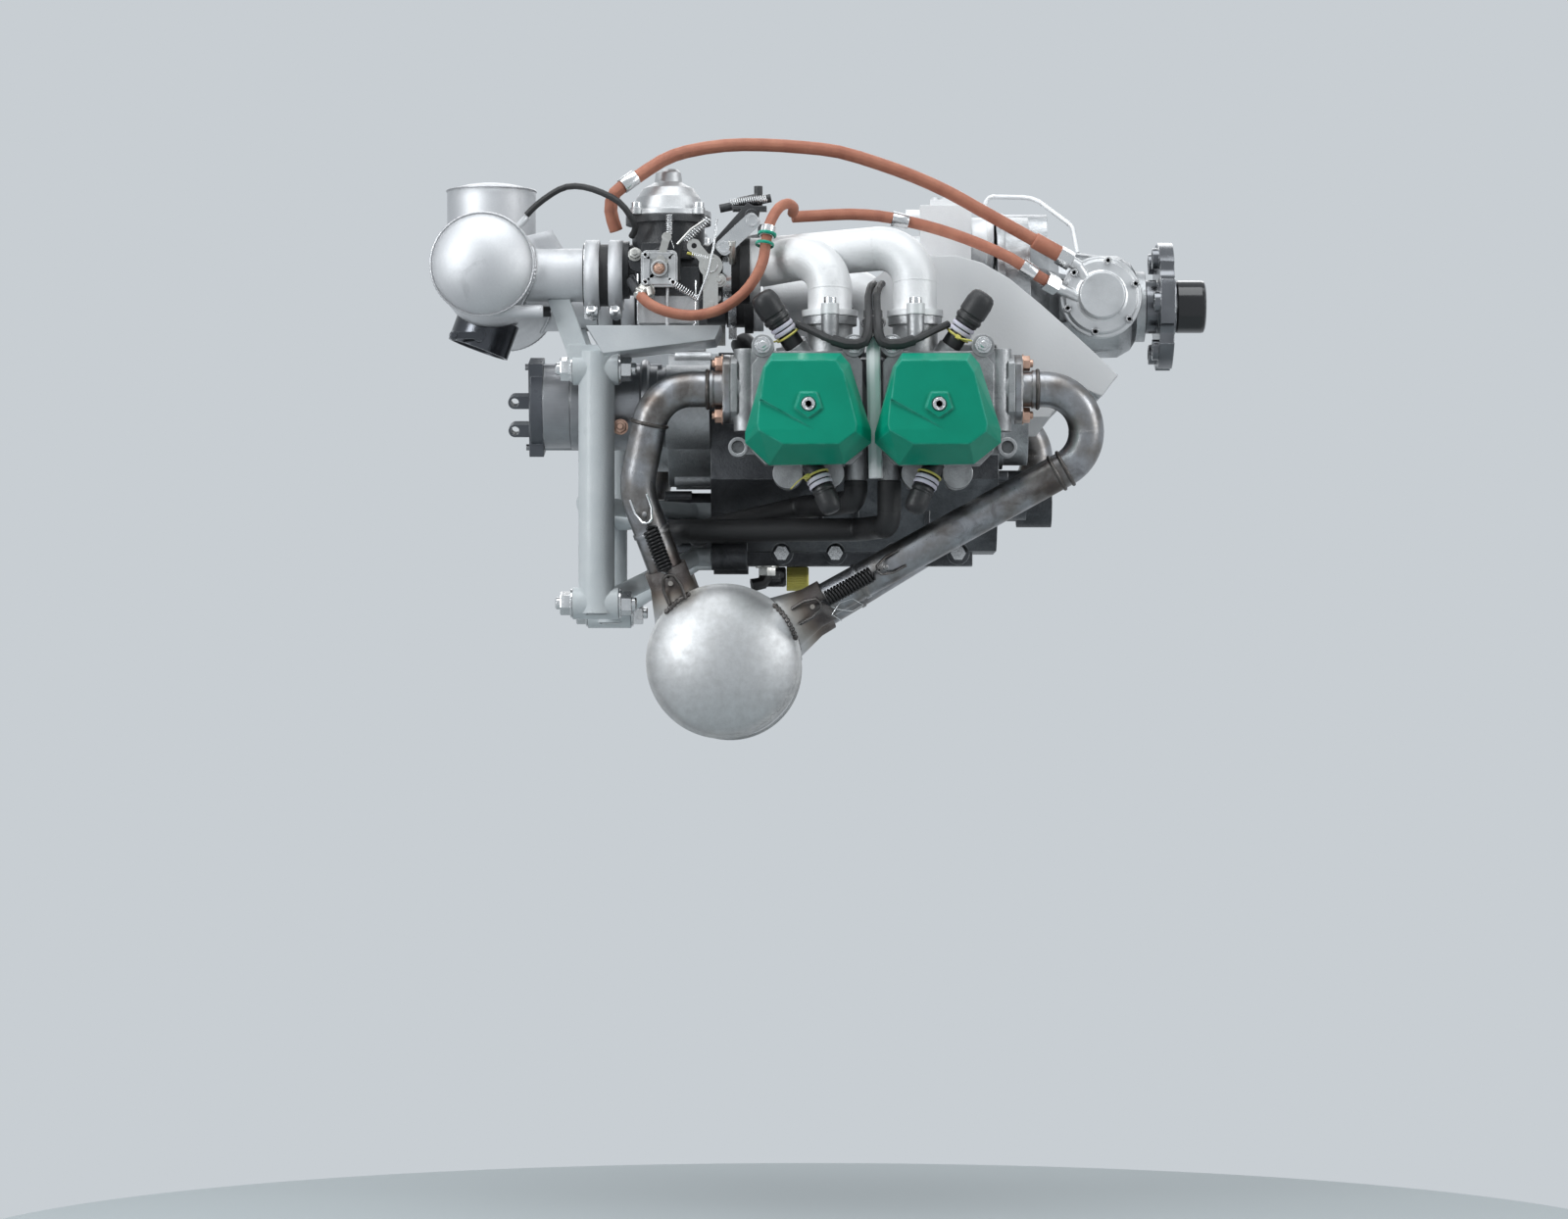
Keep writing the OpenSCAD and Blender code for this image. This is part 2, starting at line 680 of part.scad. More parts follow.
module valve_cover(i) {
    s = cyl_side(i);
    drop = [[-60, 6], [-43, 8.5], [24, -29.5], [24, -60], [-60, -60]];
    color("#0f7a55")
        translate([cyl_x(i), 0, crank_z - cover_drop]) rotate([0, 0, s == LEFT ? 180 : 0])
            difference() {
                union() {
                    translate([0, -cover_y, 0]) mirror([0, 1, 0]) plate_y(0, 9) polygon(cover_outline);
                    hull() {
                        translate([0, -cover_y - 10, 0]) plate_y(0, 2) polygon(cover_outline);
                        translate([0, -cover_y - cover_depth + 2, 0]) plate_y(0, 1) polygon(cover_plateau);
                    }
                    // Five-sided pad round the bolt
                    translate([0, -cover_y - cover_depth + 2.5, 4]) rotate([90, 90, 0])
                        cylinder(r = 13, h = 2.5, $fn = 5);
                }
                // Sloped recess across the lower corner
                translate([0, -cover_y - cover_depth - 0.5, 0]) rotate([-6, 0, 0])
                    plate_y(0, 4.5) polygon(drop);
                // Hollow, with a pillar left round the bolt
                difference() {
                    hull() {
                        translate([0, -cover_y - 1, 0]) plate_y(0, 2) scale(0.93) polygon(cover_outline);
                        translate([0, -cover_y - cover_depth + cover_wall + 4, 0]) plate_y(0, 1)
                            scale(0.9) polygon(cover_plateau);
                    }
                    rod_y(-cover_y - cover_depth, -cover_y + 5, 9, 0, 4);
                }
                rod_y(-cover_y - cover_depth - 5, -cover_y + 5, 3.3, 0, 4);
                rod_y(-cover_y - cover_depth - 5, -cover_y - cover_depth + 4, 6.8, 0, 4);
            }
}

module valve_cover_1() valve_cover(1);

module valve_cover_2() valve_cover(2);

module valve_cover_3() valve_cover(3);

module valve_cover_4() valve_cover(4);

// Crankshaft, flywheel and camshaft

// Crank throws from the rear: left, right, left, right; opposed pins are half a turn apart
function throw_list() = [
    [rear_cyl_x - bank_offset, 1], [rear_cyl_x, -1], [front_cyl_x - bank_offset, -1], [front_cyl_x, 1]
];

module crankshaft() {
    color("#aeb2b5") difference() {
        translate([0, 0, crank_z]) {
            for (t = throw_list()) {
                rod_x(t[0] - pin_w / 2, t[0] + pin_w / 2, pin_r, t[1] * throw, 0);
                for (e = [-1, 1]) plate_x(t[0] + e * (bank_offset / 2 - web_t / 2 + 0.001) - web_t / 2, web_t)
                    intersection() {
                        circle(throw + pin_r + 2);
                        square([2 * (throw + pin_r + 2), 2 * (pin_r + 6)], center = true);
                    }
            }
            journal(crank_x0, rear_cyl_x - bank_offset - bank_offset / 2 + 0.5, main_r);
            journal(rear_cyl_x + bank_offset / 2 - 0.5, front_cyl_x - bank_offset * 1.5 + 0.5, main_r);
            journal(front_cyl_x + bank_offset / 2 - 0.5, case_x1 - 1, main_r);
            rod_x(case_x1 - 2, gear_x + gear_w + 4, 16);
            // Timing gear and the reduction pinion
            plate_x(crank_x0, timing_w) gear_outline(timing_teeth, timing_m);
            rod_x(crank_x0 - 4, crank_x0, 16);
            rod_x(stator_x0 + 14, crank_x0, 12);
            plate_x(gear_x, gear_w) gear_outline(pinion_teeth, reduction_m);
        }
        rod_x(stator_x0 + 13, stator_x0 + 34, 4, 0, crank_z);
    }
}
crank_x0 = case_x0 + 1.5;

module journal(x0, x1, r) rod_x(x0, x1, r);

module flywheel() {
    color("#6c7073") difference() {
        translate([0, 0, crank_z]) {
            rod_x(ignition_x0 + 8, ignition_x0 + 28, flywheel_r);
            rod_x(ignition_x0 + 28, crank_x0 - 5, 20);
        }
        rod_x(ignition_x0, case_x0, 12, 0, crank_z);
        translate([0, 0, crank_z]) difference() {
            rod_x(ignition_x0 + 7, ignition_x0 + 22, flywheel_r - 8);
            rod_x(ignition_x0 + 6, ignition_x0 + 23, 20);
        }
        for (k = [0:5]) translate([0, 0, crank_z]) rotate([60 * k, 0, 0])
            rod_x(ignition_x0, case_x0, 6, 0, 34);
    }
}

module camshaft() {
    lobe_r = 8.5;
    color("#a2a6a9") translate([0, 0, cam_z]) {
        rod_x(case_x0 + 1.5, case_x1 + 20, 8);
        journal(case_x0 + 14, rear_cyl_x - bank_offset / 2 - crank_pocket_w / 2, cam_bearing_r);
        journal(rear_cyl_x - bank_offset / 2 + crank_pocket_w / 2,
            front_cyl_x - bank_offset / 2 - crank_pocket_w / 2, cam_bearing_r);
        journal(front_cyl_x - bank_offset / 2 + crank_pocket_w / 2, case_x1 - 2, cam_bearing_r);
        // The gear's tooth gap meets the crank gear's tooth straight above it
        plate_x(case_x0 + 1.5, timing_w) rotate(180 / (2 * timing_teeth)) gear_outline(2 * timing_teeth, timing_m);
        for (i = CYLINDERS) for (e = [-1, 1])
            translate([cam_lobe_x(i, e), 0, 0]) rotate([90 * i + 110 * e, 0, 0]) {
                rod_x(-4, 4, 10.5);
                rod_x(-4, 4, lobe_r, 0, 6.5);
            }
    }
}

// The lobes of a pair of opposed cylinders share the room between the bearings
function cam_lobe_x(i, e) = cyl_x(i) + (cyl_side(i) == LEFT ? -2 : 2) + e * 9;

// Propeller shaft and gearbox

module propeller_shaft() {
    color("#7f8487") difference() {
        translate([0, 0, prop_z]) {
            rod_x(gear_x - 1, nose_x + 2, shaft_r);
            rod_x(nose_x + 1, flange_x + 2, 26);
            rod_x(flange_x, flange_x + flange_t, flange_r);
            rod_x(flange_x + flange_t, flange_x + flange_t + 4, 27);
            for (k = [0:5]) rotate([60 * k + 30, 0, 0])
                rod_x(flange_x - 6, flange_x + 1, 10, 0, prop_pcd / 2);
        }
        translate([0, 0, prop_z]) {
            for (k = [0:5]) rotate([60 * k + 30, 0, 0])
                rod_x(flange_x - 10, flange_x + flange_t + 1, prop_bolt_r, 0, prop_pcd / 2);
            // Scallops and lightening holes in the flange
            for (k = [0:5]) rotate([60 * k, 0, 0]) {
                rod_x(flange_x - 1, flange_x + flange_t + 1, 14, 0, flange_r + 8);
                rod_x(flange_x - 1, flange_x + flange_t + 1, 4, 0, 40);
            }
            rod_x(gear_x - 2, flange_x + flange_t + 20, 11);
        }
    }
}

module hub_cap() {
    cap_x = flange_x + flange_t + 4;
    color("#15171c") translate([cap_x, 0, prop_z]) rotate([0, 90, 0]) rotate_extrude()
        polygon([[0, 0], [24, 0], [25.5, 2], [25.5, 25], [25, 27.5], [22, 29], [0, 29]]);
}

module propeller_gear() {
    color("#9a9ea1") translate([0, 0, prop_z]) difference() {
        union() {
            plate_x(gear_x, gear_w) rotate(180 + 180 / gear_teeth) gear_outline(gear_teeth, reduction_m);
            rod_x(gear_x, gear_x + gear_w + 8, shaft_r + 10);
        }
        rod_x(gear_x - 1, gear_x + gear_w + 9, shaft_r);
        for (k = [0:7]) rotate([45 * k, 0, 0]) rod_x(gear_x - 1, gear_x + gear_w + 1, 9, 0, 52);
    }
}

// Nose of the gearbox as a turned profile: distance along X, radius
function nose_profile(wall) = [
    [0, gear_tip_r + gearbox_wall + 1 - wall], [28, gear_tip_r + gearbox_wall + 1 - wall],
    [36, gear_tip_r - 8 - wall], [50, 56 - wall], [60, 51 - wall]
];

module gearbox_housing() {
    belly = gear_w + 8;
    color("#9da2a6") difference() {
        union() {
            plate_x(case_x1, belly + gearbox_wall)
                pear(pinion_tip_r + gearbox_wall + 1, crank_z, gear_tip_r + gearbox_wall + 1, prop_z);
            plate_x(case_x1, 7)
                pear(pinion_tip_r + gearbox_wall + 5, crank_z, gear_tip_r + gearbox_wall + 5, prop_z);
            translate([case_x1, 0, prop_z]) rotate([0, 90, 0]) rotate_extrude() polygon([
                [0, 0], [gear_tip_r + gearbox_wall + 1, 0], [gear_tip_r + gearbox_wall + 1, belly],
                [gear_tip_r - 8, belly + 11], [58, belly + 24], [51, belly + 34], [49, gearbox_len - 26],
                [42, gearbox_len - 14], [34, gearbox_len - 9], [34, gearbox_len], [0, gearbox_len]
            ]);
            // Ribs from the belly to the nose
            for (k = [0:7]) translate([0, 0, prop_z]) rotate([45 * k + 22.5, 0, 0])
                plate_y(-3, 6) polygon([
                    [case_x1 + belly, 30], [case_x1 + belly, gear_tip_r + 2],
                    [case_x1 + belly + 50, 54], [case_x1 + gearbox_len - 22, 48], [case_x1 + gearbox_len - 22, 30]
                ]);
            // Seat of the fuel pump and boss of the governor
            rod_y(-pump_seat_y, -20, 34, pump_x, prop_z + 3);
            rod_x(case_x1, case_x1 + 52, 27, governor_y, governor_z);
        }
        // Gear hollow, shaft bore and pinion hollow
        rod_x(case_x1 - 1, case_x1 + belly, gear_tip_r + 1, 0, prop_z);
        rod_x(case_x1 - 1, case_x1 + belly, pinion_tip_r + 1, 0, crank_z);
        rod_x(case_x1, nose_x + 1, shaft_r + bearing_play, 0, prop_z);
        rod_x(case_x1 + belly - 1, case_x1 + belly + 6, shaft_r + 12, 0, prop_z);
    }
}
pump_seat_y = 62;

module fuel_pump() {
    color("#b7bbbf") {
        difference() {
            translate([pump_x, -pump_seat_y, prop_z + 3]) rotate([90, 0, 0]) rotate_extrude() polygon([
                [0, 0], [pump_r, 0], [pump_r, 4], [pump_r - 1, 5.5], [36, 6], [34, 12], [25, 13.5],
                [22.6, 15], [22.6, 27], [21, 29], [0, 29]
            ]);
            for (k = [0:5]) translate([pump_x, 0, prop_z + 3]) rotate([0, 60 * k + 10, 0])
                rod_y(-pump_seat_y - 14, -pump_seat_y + 1, 2.2, 0, pump_r - 5);
        }
        // Screws
        for (k = [0:5]) translate([pump_x, 0, prop_z + 3]) rotate([0, 60 * k + 10, 0]) {
            rod_y(-pump_seat_y - 14, -pump_seat_y - 5, 3.6, 0, pump_r - 5);
            rod_y(-pump_seat_y - 5, -pump_seat_y, 2.2, 0, pump_r - 5);
        }
        for (p = pump_nipples()) {
            rod(p[1], p[1] + 9 * p[2], 6);
            rod(p[1] + 6 * p[2], p[0], 5.5);
        }
    }
}

// Inlet and outlet of the pump: from inside its body to the hose ends
function hose_end(h) = let (n = len(h) - 1) h[n] + 0.3 * unit(h[n] - h[n - 1]);
function pump_nipples() = [
    for (w = [[long_hose, -8, 10], [middle_hose, -12, -2]]) let (h = w[0], n = len(h) - 1)
        [[pump_x + w[1], -pump_seat_y - 10, prop_z + w[2]], hose_end(h), unit(h[n] - h[n - 1])]
];

module governor() {
    block_x = case_x1 - 72;
    color("#d5d8da") {
        difference() {
            union() {
                rod_x(block_x + 10, case_x1 - seat_gap, 24, governor_y, governor_z);
                rod_x(case_x1 - 7, case_x1 - seat_gap, 30, governor_y, governor_z);
                box([block_x, governor_y - 24, governor_z - 20], [block_x + 50, governor_y + 28, governor_z + 34]);
                box([block_x + 10, governor_y - 18, governor_z + 34], [block_x + 40, governor_y + 20, governor_z + 40]);
                rod_z(governor_z + 40, governor_z + 50, 8, block_x + 34, governor_y);
                rod_x(block_x - 14, block_x, 9, governor_y - 10, governor_z + 22);
                rod_x(block_x - 14, block_x, 9, governor_y - 10, governor_z - 4);
                rod_z(governor_z + 34, governor_z + 45, 4, block_x + 16, governor_y + 10);
            }
            // Bore of the lever's pivot
            rod_y(governor_y + 10, governor_y + 29, 5 + bearing_play, governor_pivot_x, governor_pivot_z);
        }
        // Oil line to the gearbox's nose
        bent_rod([
            [block_x + 62, governor_y + 5, governor_z + 18], [block_x + 66, governor_y + 8, governor_z + 46],
            [block_x + 112, governor_y, governor_z + 44], [case_x1 + 76, 8, governor_z + 12],
            [case_x1 + 80, -6, prop_z + 51.4]
        ], [8, 30, 18], 2.3);
    }
}
governor_pivot_x = case_x1 - 46;
governor_pivot_z = governor_z + 12;

module governor_lever() {
    color("#c9cccf") difference() {
        union() {
            rod_y(governor_y + 14, governor_y + 36, 5, governor_pivot_x, governor_pivot_z);
            rod_y(governor_y + 28.3, governor_y + 36, 8, governor_pivot_x, governor_pivot_z);
            plate_y(governor_y + 32, 3) {
                translate([governor_pivot_x, governor_pivot_z]) circle(9);
                translate([governor_pivot_x - 5, governor_pivot_z]) square([10, 30]);
                translate([governor_pivot_x, governor_pivot_z + 30]) circle(6);
            }
        }
        rod_y(governor_y + 30, governor_y + 37, 2.5, governor_pivot_x, governor_pivot_z + 30);
    }
}

// Accessories at the rear

module ignition_housing() {
    color("#7d8286") difference() {
        union() {
            rod_x(ignition_x0, case_x0 - seat_gap, ignition_r, 0, crank_z);
            rod_x(ignition_x0, case_x0 - seat_gap, starter_r, -starter_y, starter_z);
            box([ignition_x0, -starter_y, crank_z - 30], [case_x0 - seat_gap, -30, crank_z + 36]);
            rod_x(stator_x0, ignition_x0 + 1, 49, 0, crank_z);
            for (k = [0, 3, 4, 5, 6, 7]) translate([0, 0, crank_z]) rotate([45 * k + 22.5, 0, 0])
                rod_x(ignition_x0 + 6, case_x0 - 1, 7, 0, ignition_r - 1);
        }
        rod_x(ignition_x0 + 5, case_x0, flywheel_r + 3, 0, crank_z);
        rod_x(stator_x0 + 8, ignition_x0 + 6, 30, 0, crank_z);
        rod_x(ignition_x0 + 10, case_x0, starter_r - 8, -starter_y, starter_z);
    }
}

module starter_motor() {
    color("#a9adb0") {
        rod_x(starter_x0 + 26, starter_x1 - 8, starter_r, -starter_y, starter_z);
        rod_x(starter_x0, starter_x0 + 25.5, starter_r - 1, -starter_y, starter_z);
        rod_x(starter_x0 + 25, starter_x0 + 27, starter_r - 2.5, -starter_y, starter_z);
        rod_x(starter_x1 - 9, starter_x1 - seat_gap, starter_r - 2, -starter_y, starter_z);
        // Through bolts along the drum
        for (e = [-1, 1]) translate([0, -starter_y, starter_z]) rotate([13, 0, 0])
            rod_x(starter_x0 - 18, starter_x1 - 4, 3, 0, e * starter_bolt_z);
        rod_y(-starter_y - starter_r - 7, -starter_y, 5, starter_x0 + 74, starter_z - 22);
    }
}
starter_bolt_z = 38.5;

module starter_bracket() {
    color("#4b4f55") translate([0, -starter_y, starter_z]) rotate([13, 0, 0]) difference() {
        union() {
            rod_x(starter_x0 - 12, starter_x0 - seat_gap, starter_r - 2);
            box([starter_x0 - 14, -20, -starter_bolt_z - 6], [starter_x0 - seat_gap, 20, starter_bolt_z + 6]);
            for (z = ear_heights()) {
                box([starter_x0 - 28, -10, z - 6.2], [starter_x0 - 10, 10, z + 6.2]);
                rod_y(-10, 10, 6.2, starter_x0 - 28, z);
            }
        }
        for (z = ear_heights()) rod_y(-11, 11, ear_hole_d / 2, starter_x0 - 28, z);
        for (e = [-1, 1]) rod_x(starter_x0 - 15, starter_x0 + 1, 3.2, 0, e * starter_bolt_z);
    }
}
function ear_heights() = [-21, 6];

module water_pump() {
    pump_z = cam_z - 26;
    color("#6f7478") difference() {
        union() {
            rod_x(case_x0 - 44, case_x0 - seat_gap, 28, 0, pump_z);
            rod_x(case_x0 - 56, case_x0 - 44, 22, 0, pump_z);
            for (k = [0:5]) translate([0, 0, pump_z]) rotate([60 * k + 30, 0, 0])
                rod_x(case_x0 - 46, case_x0 - 20, 5, 0, 28);
            // Outlets to the hoses, two on each side
            for (s = SIDES) on_side(s) for (x = outlet_xs()) rod_y(10, outlet_y, 10, x, pump_z - outlet_drop);
        }
        rod_x(case_x0 - 57, case_x0 - 36, 11, 0, pump_z);
    }
}
outlet_y = 44;
outlet_drop = 15;
function outlet_xs() = [case_x0 - 37, case_x0 - 13];

module coolant_hoses() {
    hose_r = 11;
    z0 = cam_z - 26 - outlet_drop;
    color("#1b1c1e") for (s = SIDES) on_side(s) for (front = [0, 1]) {
        end_x = (front == 1 ? front_cyl_x - inlet_in : rear_cyl_x + inlet_in) + side_shift(s);
        x0 = outlet_xs()[1 - front];
        level = front == 1 ? -40 : -17;
        bent_tube([
            [x0, outlet_y + seat_gap, z0],
            [x0, front == 1 ? 126 : 98, z0],
            [end_x - (front == 1 ? 26 : 50), front == 1 ? 136 : 98, level],
            [end_x, port_y + 4, level],
            [end_x, port_y + 4, crank_z - 70 - seat_gap]
        ], [20, 16, 13], hose_r, 3.5);
    }
}

module oil_pump() {
    filter_y = 66;
    color("#8b9094") difference() {
        union() {
            rod_x(case_x1 + seat_gap, case_x1 + 30, 24, 0, cam_z);
            rod_x(case_x1 + seat_gap, case_x1 + 24, 20, filter_y, cam_z - 2);
            box([case_x1 + seat_gap, 0, cam_z - 20], [case_x1 + 24, filter_y, cam_z + 8]);
            for (k = [0:3]) translate([0, 0, cam_z]) rotate([90 * k + 45, 0, 0])
                rod_x(case_x1 + seat_gap, case_x1 + 12, 6, 0, 24);
        }
        rod_x(case_x1, case_x1 + 22, 8 + bearing_play, 0, cam_z);
    }
    color("#1f2124") rod_x(case_x1 + 24, case_x1 + 58, 26, filter_y, cam_z - 2);
}

// Mount frame

module mount_frame() {
    z_low = -mount_h / 2;
    z_high = mount_h / 2;
    y = mount_w / 2;
    color("#c2cbd0") difference() {
        union() {
            for (s = SIDES) on_side(s) {
                rod_z(z_low - 10, z_high + 16, upright_r, upright_x, y);
                for (z = [z_low, z_high]) {
                    rod_x(0, boss_len, boss_r, y, z);
                    // Gusset between boss and tube
                    plate_y(y - 3, 6) polygon([
                        [2, z], [upright_x, z + (z < 0 ? 46 : -46)], [boss_len - 2, z]
                    ]);
                }
                // Struts to the crankcase
                for (k = [0, 1]) {
                    z = strut_zs()[k];
                    rod(k == 0 ? [upright_x, y, z] : [boss_len - 6, y - 6, z_low + 6],
                        [case_x0 - 16, strut_y, z], strut_r - 0.5);
                    rod_x(case_x0 - 20, case_x0 - seat_gap, strut_r, strut_y, z);
                }
                // Square strut up to the airbox socket tube
                aim([upright_x - 16, y, z_high + 12], strut_top(y)) translate([-10, -10, 0])
                    cube([20, 20, norm(strut_top(y) - [upright_x - 16, y, z_high + 12])]);
                box([upright_x - 26, y - 11, z_high - 6], [upright_x + 12, y + 11, z_high + 22]);
            }
            // Cross tubes between the uprights
            rod_y(-y, y, 11, upright_x - 8, -16);
            rod_y(-y, y, 10, upright_x, z_low + 4);
        }
        for (s = SIDES) on_side(s) for (z = [z_low, z_high]) rod_x(-1, boss_len + 1, mount_bore_r, y, z);
        for (s = SIDES) on_side(s) {
            rod_z(z_low - 11, z_low - 6, upright_r - 3, upright_x, y);
            rod_x(drum_x, sleeve_x, spigot_r + seat_gap, y, socket_z);
        }
    }
}
function strut_top(y) = [-14, y, drum_z - 28];
function strut_zs() = [crank_z - 91, crank_z - 134];
strut_r = 9;
strut_y = 50;

module drip_trays() {
    y0 = carb_y - 42;
    y1 = carb_y + 45;
    color("#cfd6da") for (s = SIDES) on_side(s) difference() {
        plate_y(y0, y1 - y0) polygon([[14, 147], [30, 121], [134, 134], [140, 147]]);
        plate_y(y0 + 2, y1 - y0 - 4) polygon([[18, 148], [31.5, 123.5], [132, 136], [137, 148]]);
        rod_z(100, 150, upright_r + seat_gap, upright_x, mount_w / 2);
        box([10, mount_w / 2 - 18, 100], [boss_len + 1, mount_w / 2 + 18, 126]);
        box([10, mount_w / 2 - 13, 100], [37, mount_w / 2 + 13, 150]);
    }
}

// Airbox

module airbox() {
    color("#c9cdd0") difference() {
        union() {
            translate([drum_x, 0, drum_z]) rotate([90, 0, 0]) {
                translate([0, 0, -drum_len / 2]) cylinder(r = drum_r, h = drum_len);
                for (e = [0, 1]) mirror([0, 0, e]) translate([0, 0, drum_len / 2])
                    rotate_extrude() polygon(dome_profile(drum_r - 0.5, 21));
            }
            rod_z(drum_z, drum_z + riser_rise - 8, riser_r, drum_x - 4, 0);
            translate([drum_x - 4, 0, drum_z + riser_rise - 8]) rotate_extrude() polygon(dome_profile(riser_r, 8));
            for (s = SIDES) on_side(s) {
                rod_x(drum_x + 20, sleeve_x - seat_gap, spigot_r, carb_y, socket_z);
                // Gusset, drain and vent nipples
                plate_y(carb_y - 20, 3) polygon([
                    [drum_x + 30, drum_z + 30], [drum_x + 62, drum_z + 38], [drum_x + 74, drum_z + 18],
                    [drum_x + 40, drum_z]
                ]);
            }
            rod_x(drum_x + 10, drum_x + 56, 6, -drum_len / 2 + 12, drum_z - drum_r + 5);
            rod([drum_x + 30, -drum_len / 2 + 8, drum_z + 32], [drum_x + 42, -drum_len / 2 + 6, drum_z + 45], 3.4);
            // Neck of the intake mouth
            rod(mouth_top(), mouth_top() + 29 * mouth_dir(), mouth_r - 3);
        }
        // Hollow
        rod_y(-drum_len / 2 + 1, drum_len / 2 - 1, drum_r - sheet_t, drum_x, drum_z);
        inner_domes(drum_x, drum_z, drum_len, drum_r - 3, 18);
        rod_z(drum_z, drum_z + riser_rise - 10, riser_r - sheet_t, drum_x - 4, 0);
        for (s = SIDES) on_side(s) rod_x(drum_x, sleeve_x + 1, spigot_r - sheet_t, carb_y, socket_z);
        rod(mouth_top() - 20 * mouth_dir(), mouth_top() + 30 * mouth_dir(), mouth_r - 5);
        rod_y(-80, -12, 3 + bearing_play, flap_at().x, flap_at().z);
    }
}

// Domed end as a revolved arc over a disc of radius r, h high
function dome_profile(r, h) =
    let (big = (r * r + h * h) / (2 * h), a = asin(r / big))
    [[0, -1], [r, -1], for (k = [0:8]) [big * sin(a * (1 - k / 8)), big * cos(a * (1 - k / 8)) - big + h]];

// Axis of the intake mouth, and the flap's shaft across it
function mouth_dir() = [-sin(20), 0, -cos(20)];
function mouth_top() = [drum_x - 3, -40, drum_z - 36];
function flap_at() = mouth_top() + 22 * mouth_dir();

module intake_ring() {
    color("#5b6068") difference() {
        rod(mouth_top(), mouth_top() + 33 * mouth_dir(), mouth_r);
        rod(mouth_top() - mouth_dir(), mouth_top() + 34 * mouth_dir(), mouth_r - 2.9);
        // Seat on the drum and a hole for the flap's shaft
        rod_y(-80, 0, drum_r + seat_gap, drum_x, drum_z);
        rod_y(-80, -40, 4, flap_at().x, flap_at().z);
    }
}

// Butterfly, shaft and lever, drawn closed
module airbox_flap() {
    color("#2c2e31") translate(flap_at()) {
        rod_y(-37, 26, 3);
        rotate([0, 20, 0]) translate([0, 0, -1]) cylinder(r = mouth_r - 5.5, h = 2);
        plate_y(-37, 3) {
            circle(6);
            translate([-24, -3.5]) square([24, 7]);
            translate([-24, 0]) circle(4.5);
        }
        rod_y(-42, -35, 3, -24, 0);
    }
}

module airbox_sleeves() {
    color("#1c1d20") for (s = SIDES) on_side(s) difference() {
        union() {
            rod_x(10, 45, spigot_r + 4, carb_y, carb_z - 5);
            rod_x(34, 45, spigot_r + 4, carb_y, carb_z - 1);
        }
        rod_x(9, sleeve_x, spigot_r + 0.05, carb_y, carb_z - 5);
        rod_x(sleeve_x - 1, 46, spigot_r - 5, carb_y, carb_z - 3);
    }
}

// Carburettors, drawn for the left side

module carburettor_body() {
    difference() {
        union() {
            rod_x(carb_x, carb_x1, spigot_r - 1, carb_y, carb_z);
            rod_x(carb_x - seat_gap - 3, carb_x + 4, spigot_r + 2, carb_y, carb_z);
            rod_x(carb_x1 - 1, carb_x1 + spigot_len, spigot_r - 4, carb_y, carb_z);
            // Diaphragm chamber above, float chamber lid below
            rod_z(carb_z + 8, carb_z + 46, chamber_r - 2, chamber_x, carb_y);
            rod_z(carb_z + 42, carb_z + 49 - seat_gap, chamber_r + 4, chamber_x, carb_y);
            box([chamber_x - 30, carb_y - 30, carb_z - 26], [chamber_x + 30, carb_y + 30, carb_z]);
            // Choke housing outside
            box([chamber_x - 24, carb_y + 18, carb_z - 13], [chamber_x + 12, carb_y + 34, carb_z + 22]);
            rod_y(carb_y + 18, carb_y + 33, 9, chamber_x - 27, carb_z + 4);
            rod_y(carb_y + 34, carb_y + 37, 12, choke_x, choke_z);
            // Throttle shaft boss and the cable bracket
            rod_y(carb_y - 32, carb_y + 34, 8, shaft_x, carb_z);
            plate_y(carb_y + 26, 3) polygon([
                [shaft_x - 5, carb_z - 3], [shaft_x - 12, carb_z + 8],
                [shaft_x + 34, carb_z + 60], [shaft_x + 46, carb_z + 54], [shaft_x + 44, carb_z + 42]
            ]);
            rod_y(carb_y + 22, carb_y + 31, 6, shaft_x + 38, carb_z + 48);
            // Cable adjusters on top of the bracket
            box([shaft_x + 20, carb_y + 4, carb_z + 54], [shaft_x + 52, carb_y + 29, carb_z + 57]);
            rod([shaft_x + 8, carb_y + 14, carb_z + 56], [shaft_x + 56, carb_y + 14, carb_z + 66], 4);
            rod([shaft_x + 26, carb_y + 14, carb_z + 60], [shaft_x + 44, carb_y + 14, carb_z + 64], 6.5);
            rod_z(carb_z + 55, carb_z + 78, 4, shaft_x + 44, carb_y + 6);
            // Fuel inlet
            rod([chamber_x - 26, carb_y + 22, carb_z - 15], [chamber_x - 34, carb_y + 30, carb_z - 13], 6);
            rod([chamber_x - 34, carb_y + 30, carb_z - 13], [chamber_x - 27, carb_y + 42, carb_z - 25], 4.5);
        }
        rod_x(carb_x - 10, carb_x1 + spigot_len + 1, venturi_r, carb_y, carb_z);
        // Bores of the throttle and choke shafts
        rod_y(carb_y - 33, carb_y + 35, 4 + bearing_play, shaft_x, carb_z);
        rod_y(carb_y + 22, carb_y + 38, 4 + bearing_play, choke_x, choke_z);
    }
}
choke_x = chamber_x - 6;
choke_z = carb_z + 5;

module carburettor_right() color("#2e3134") on_side(RIGHT) carburettor_body();

module carburettor_left() color("#2e3134") on_side(LEFT) carburettor_body();

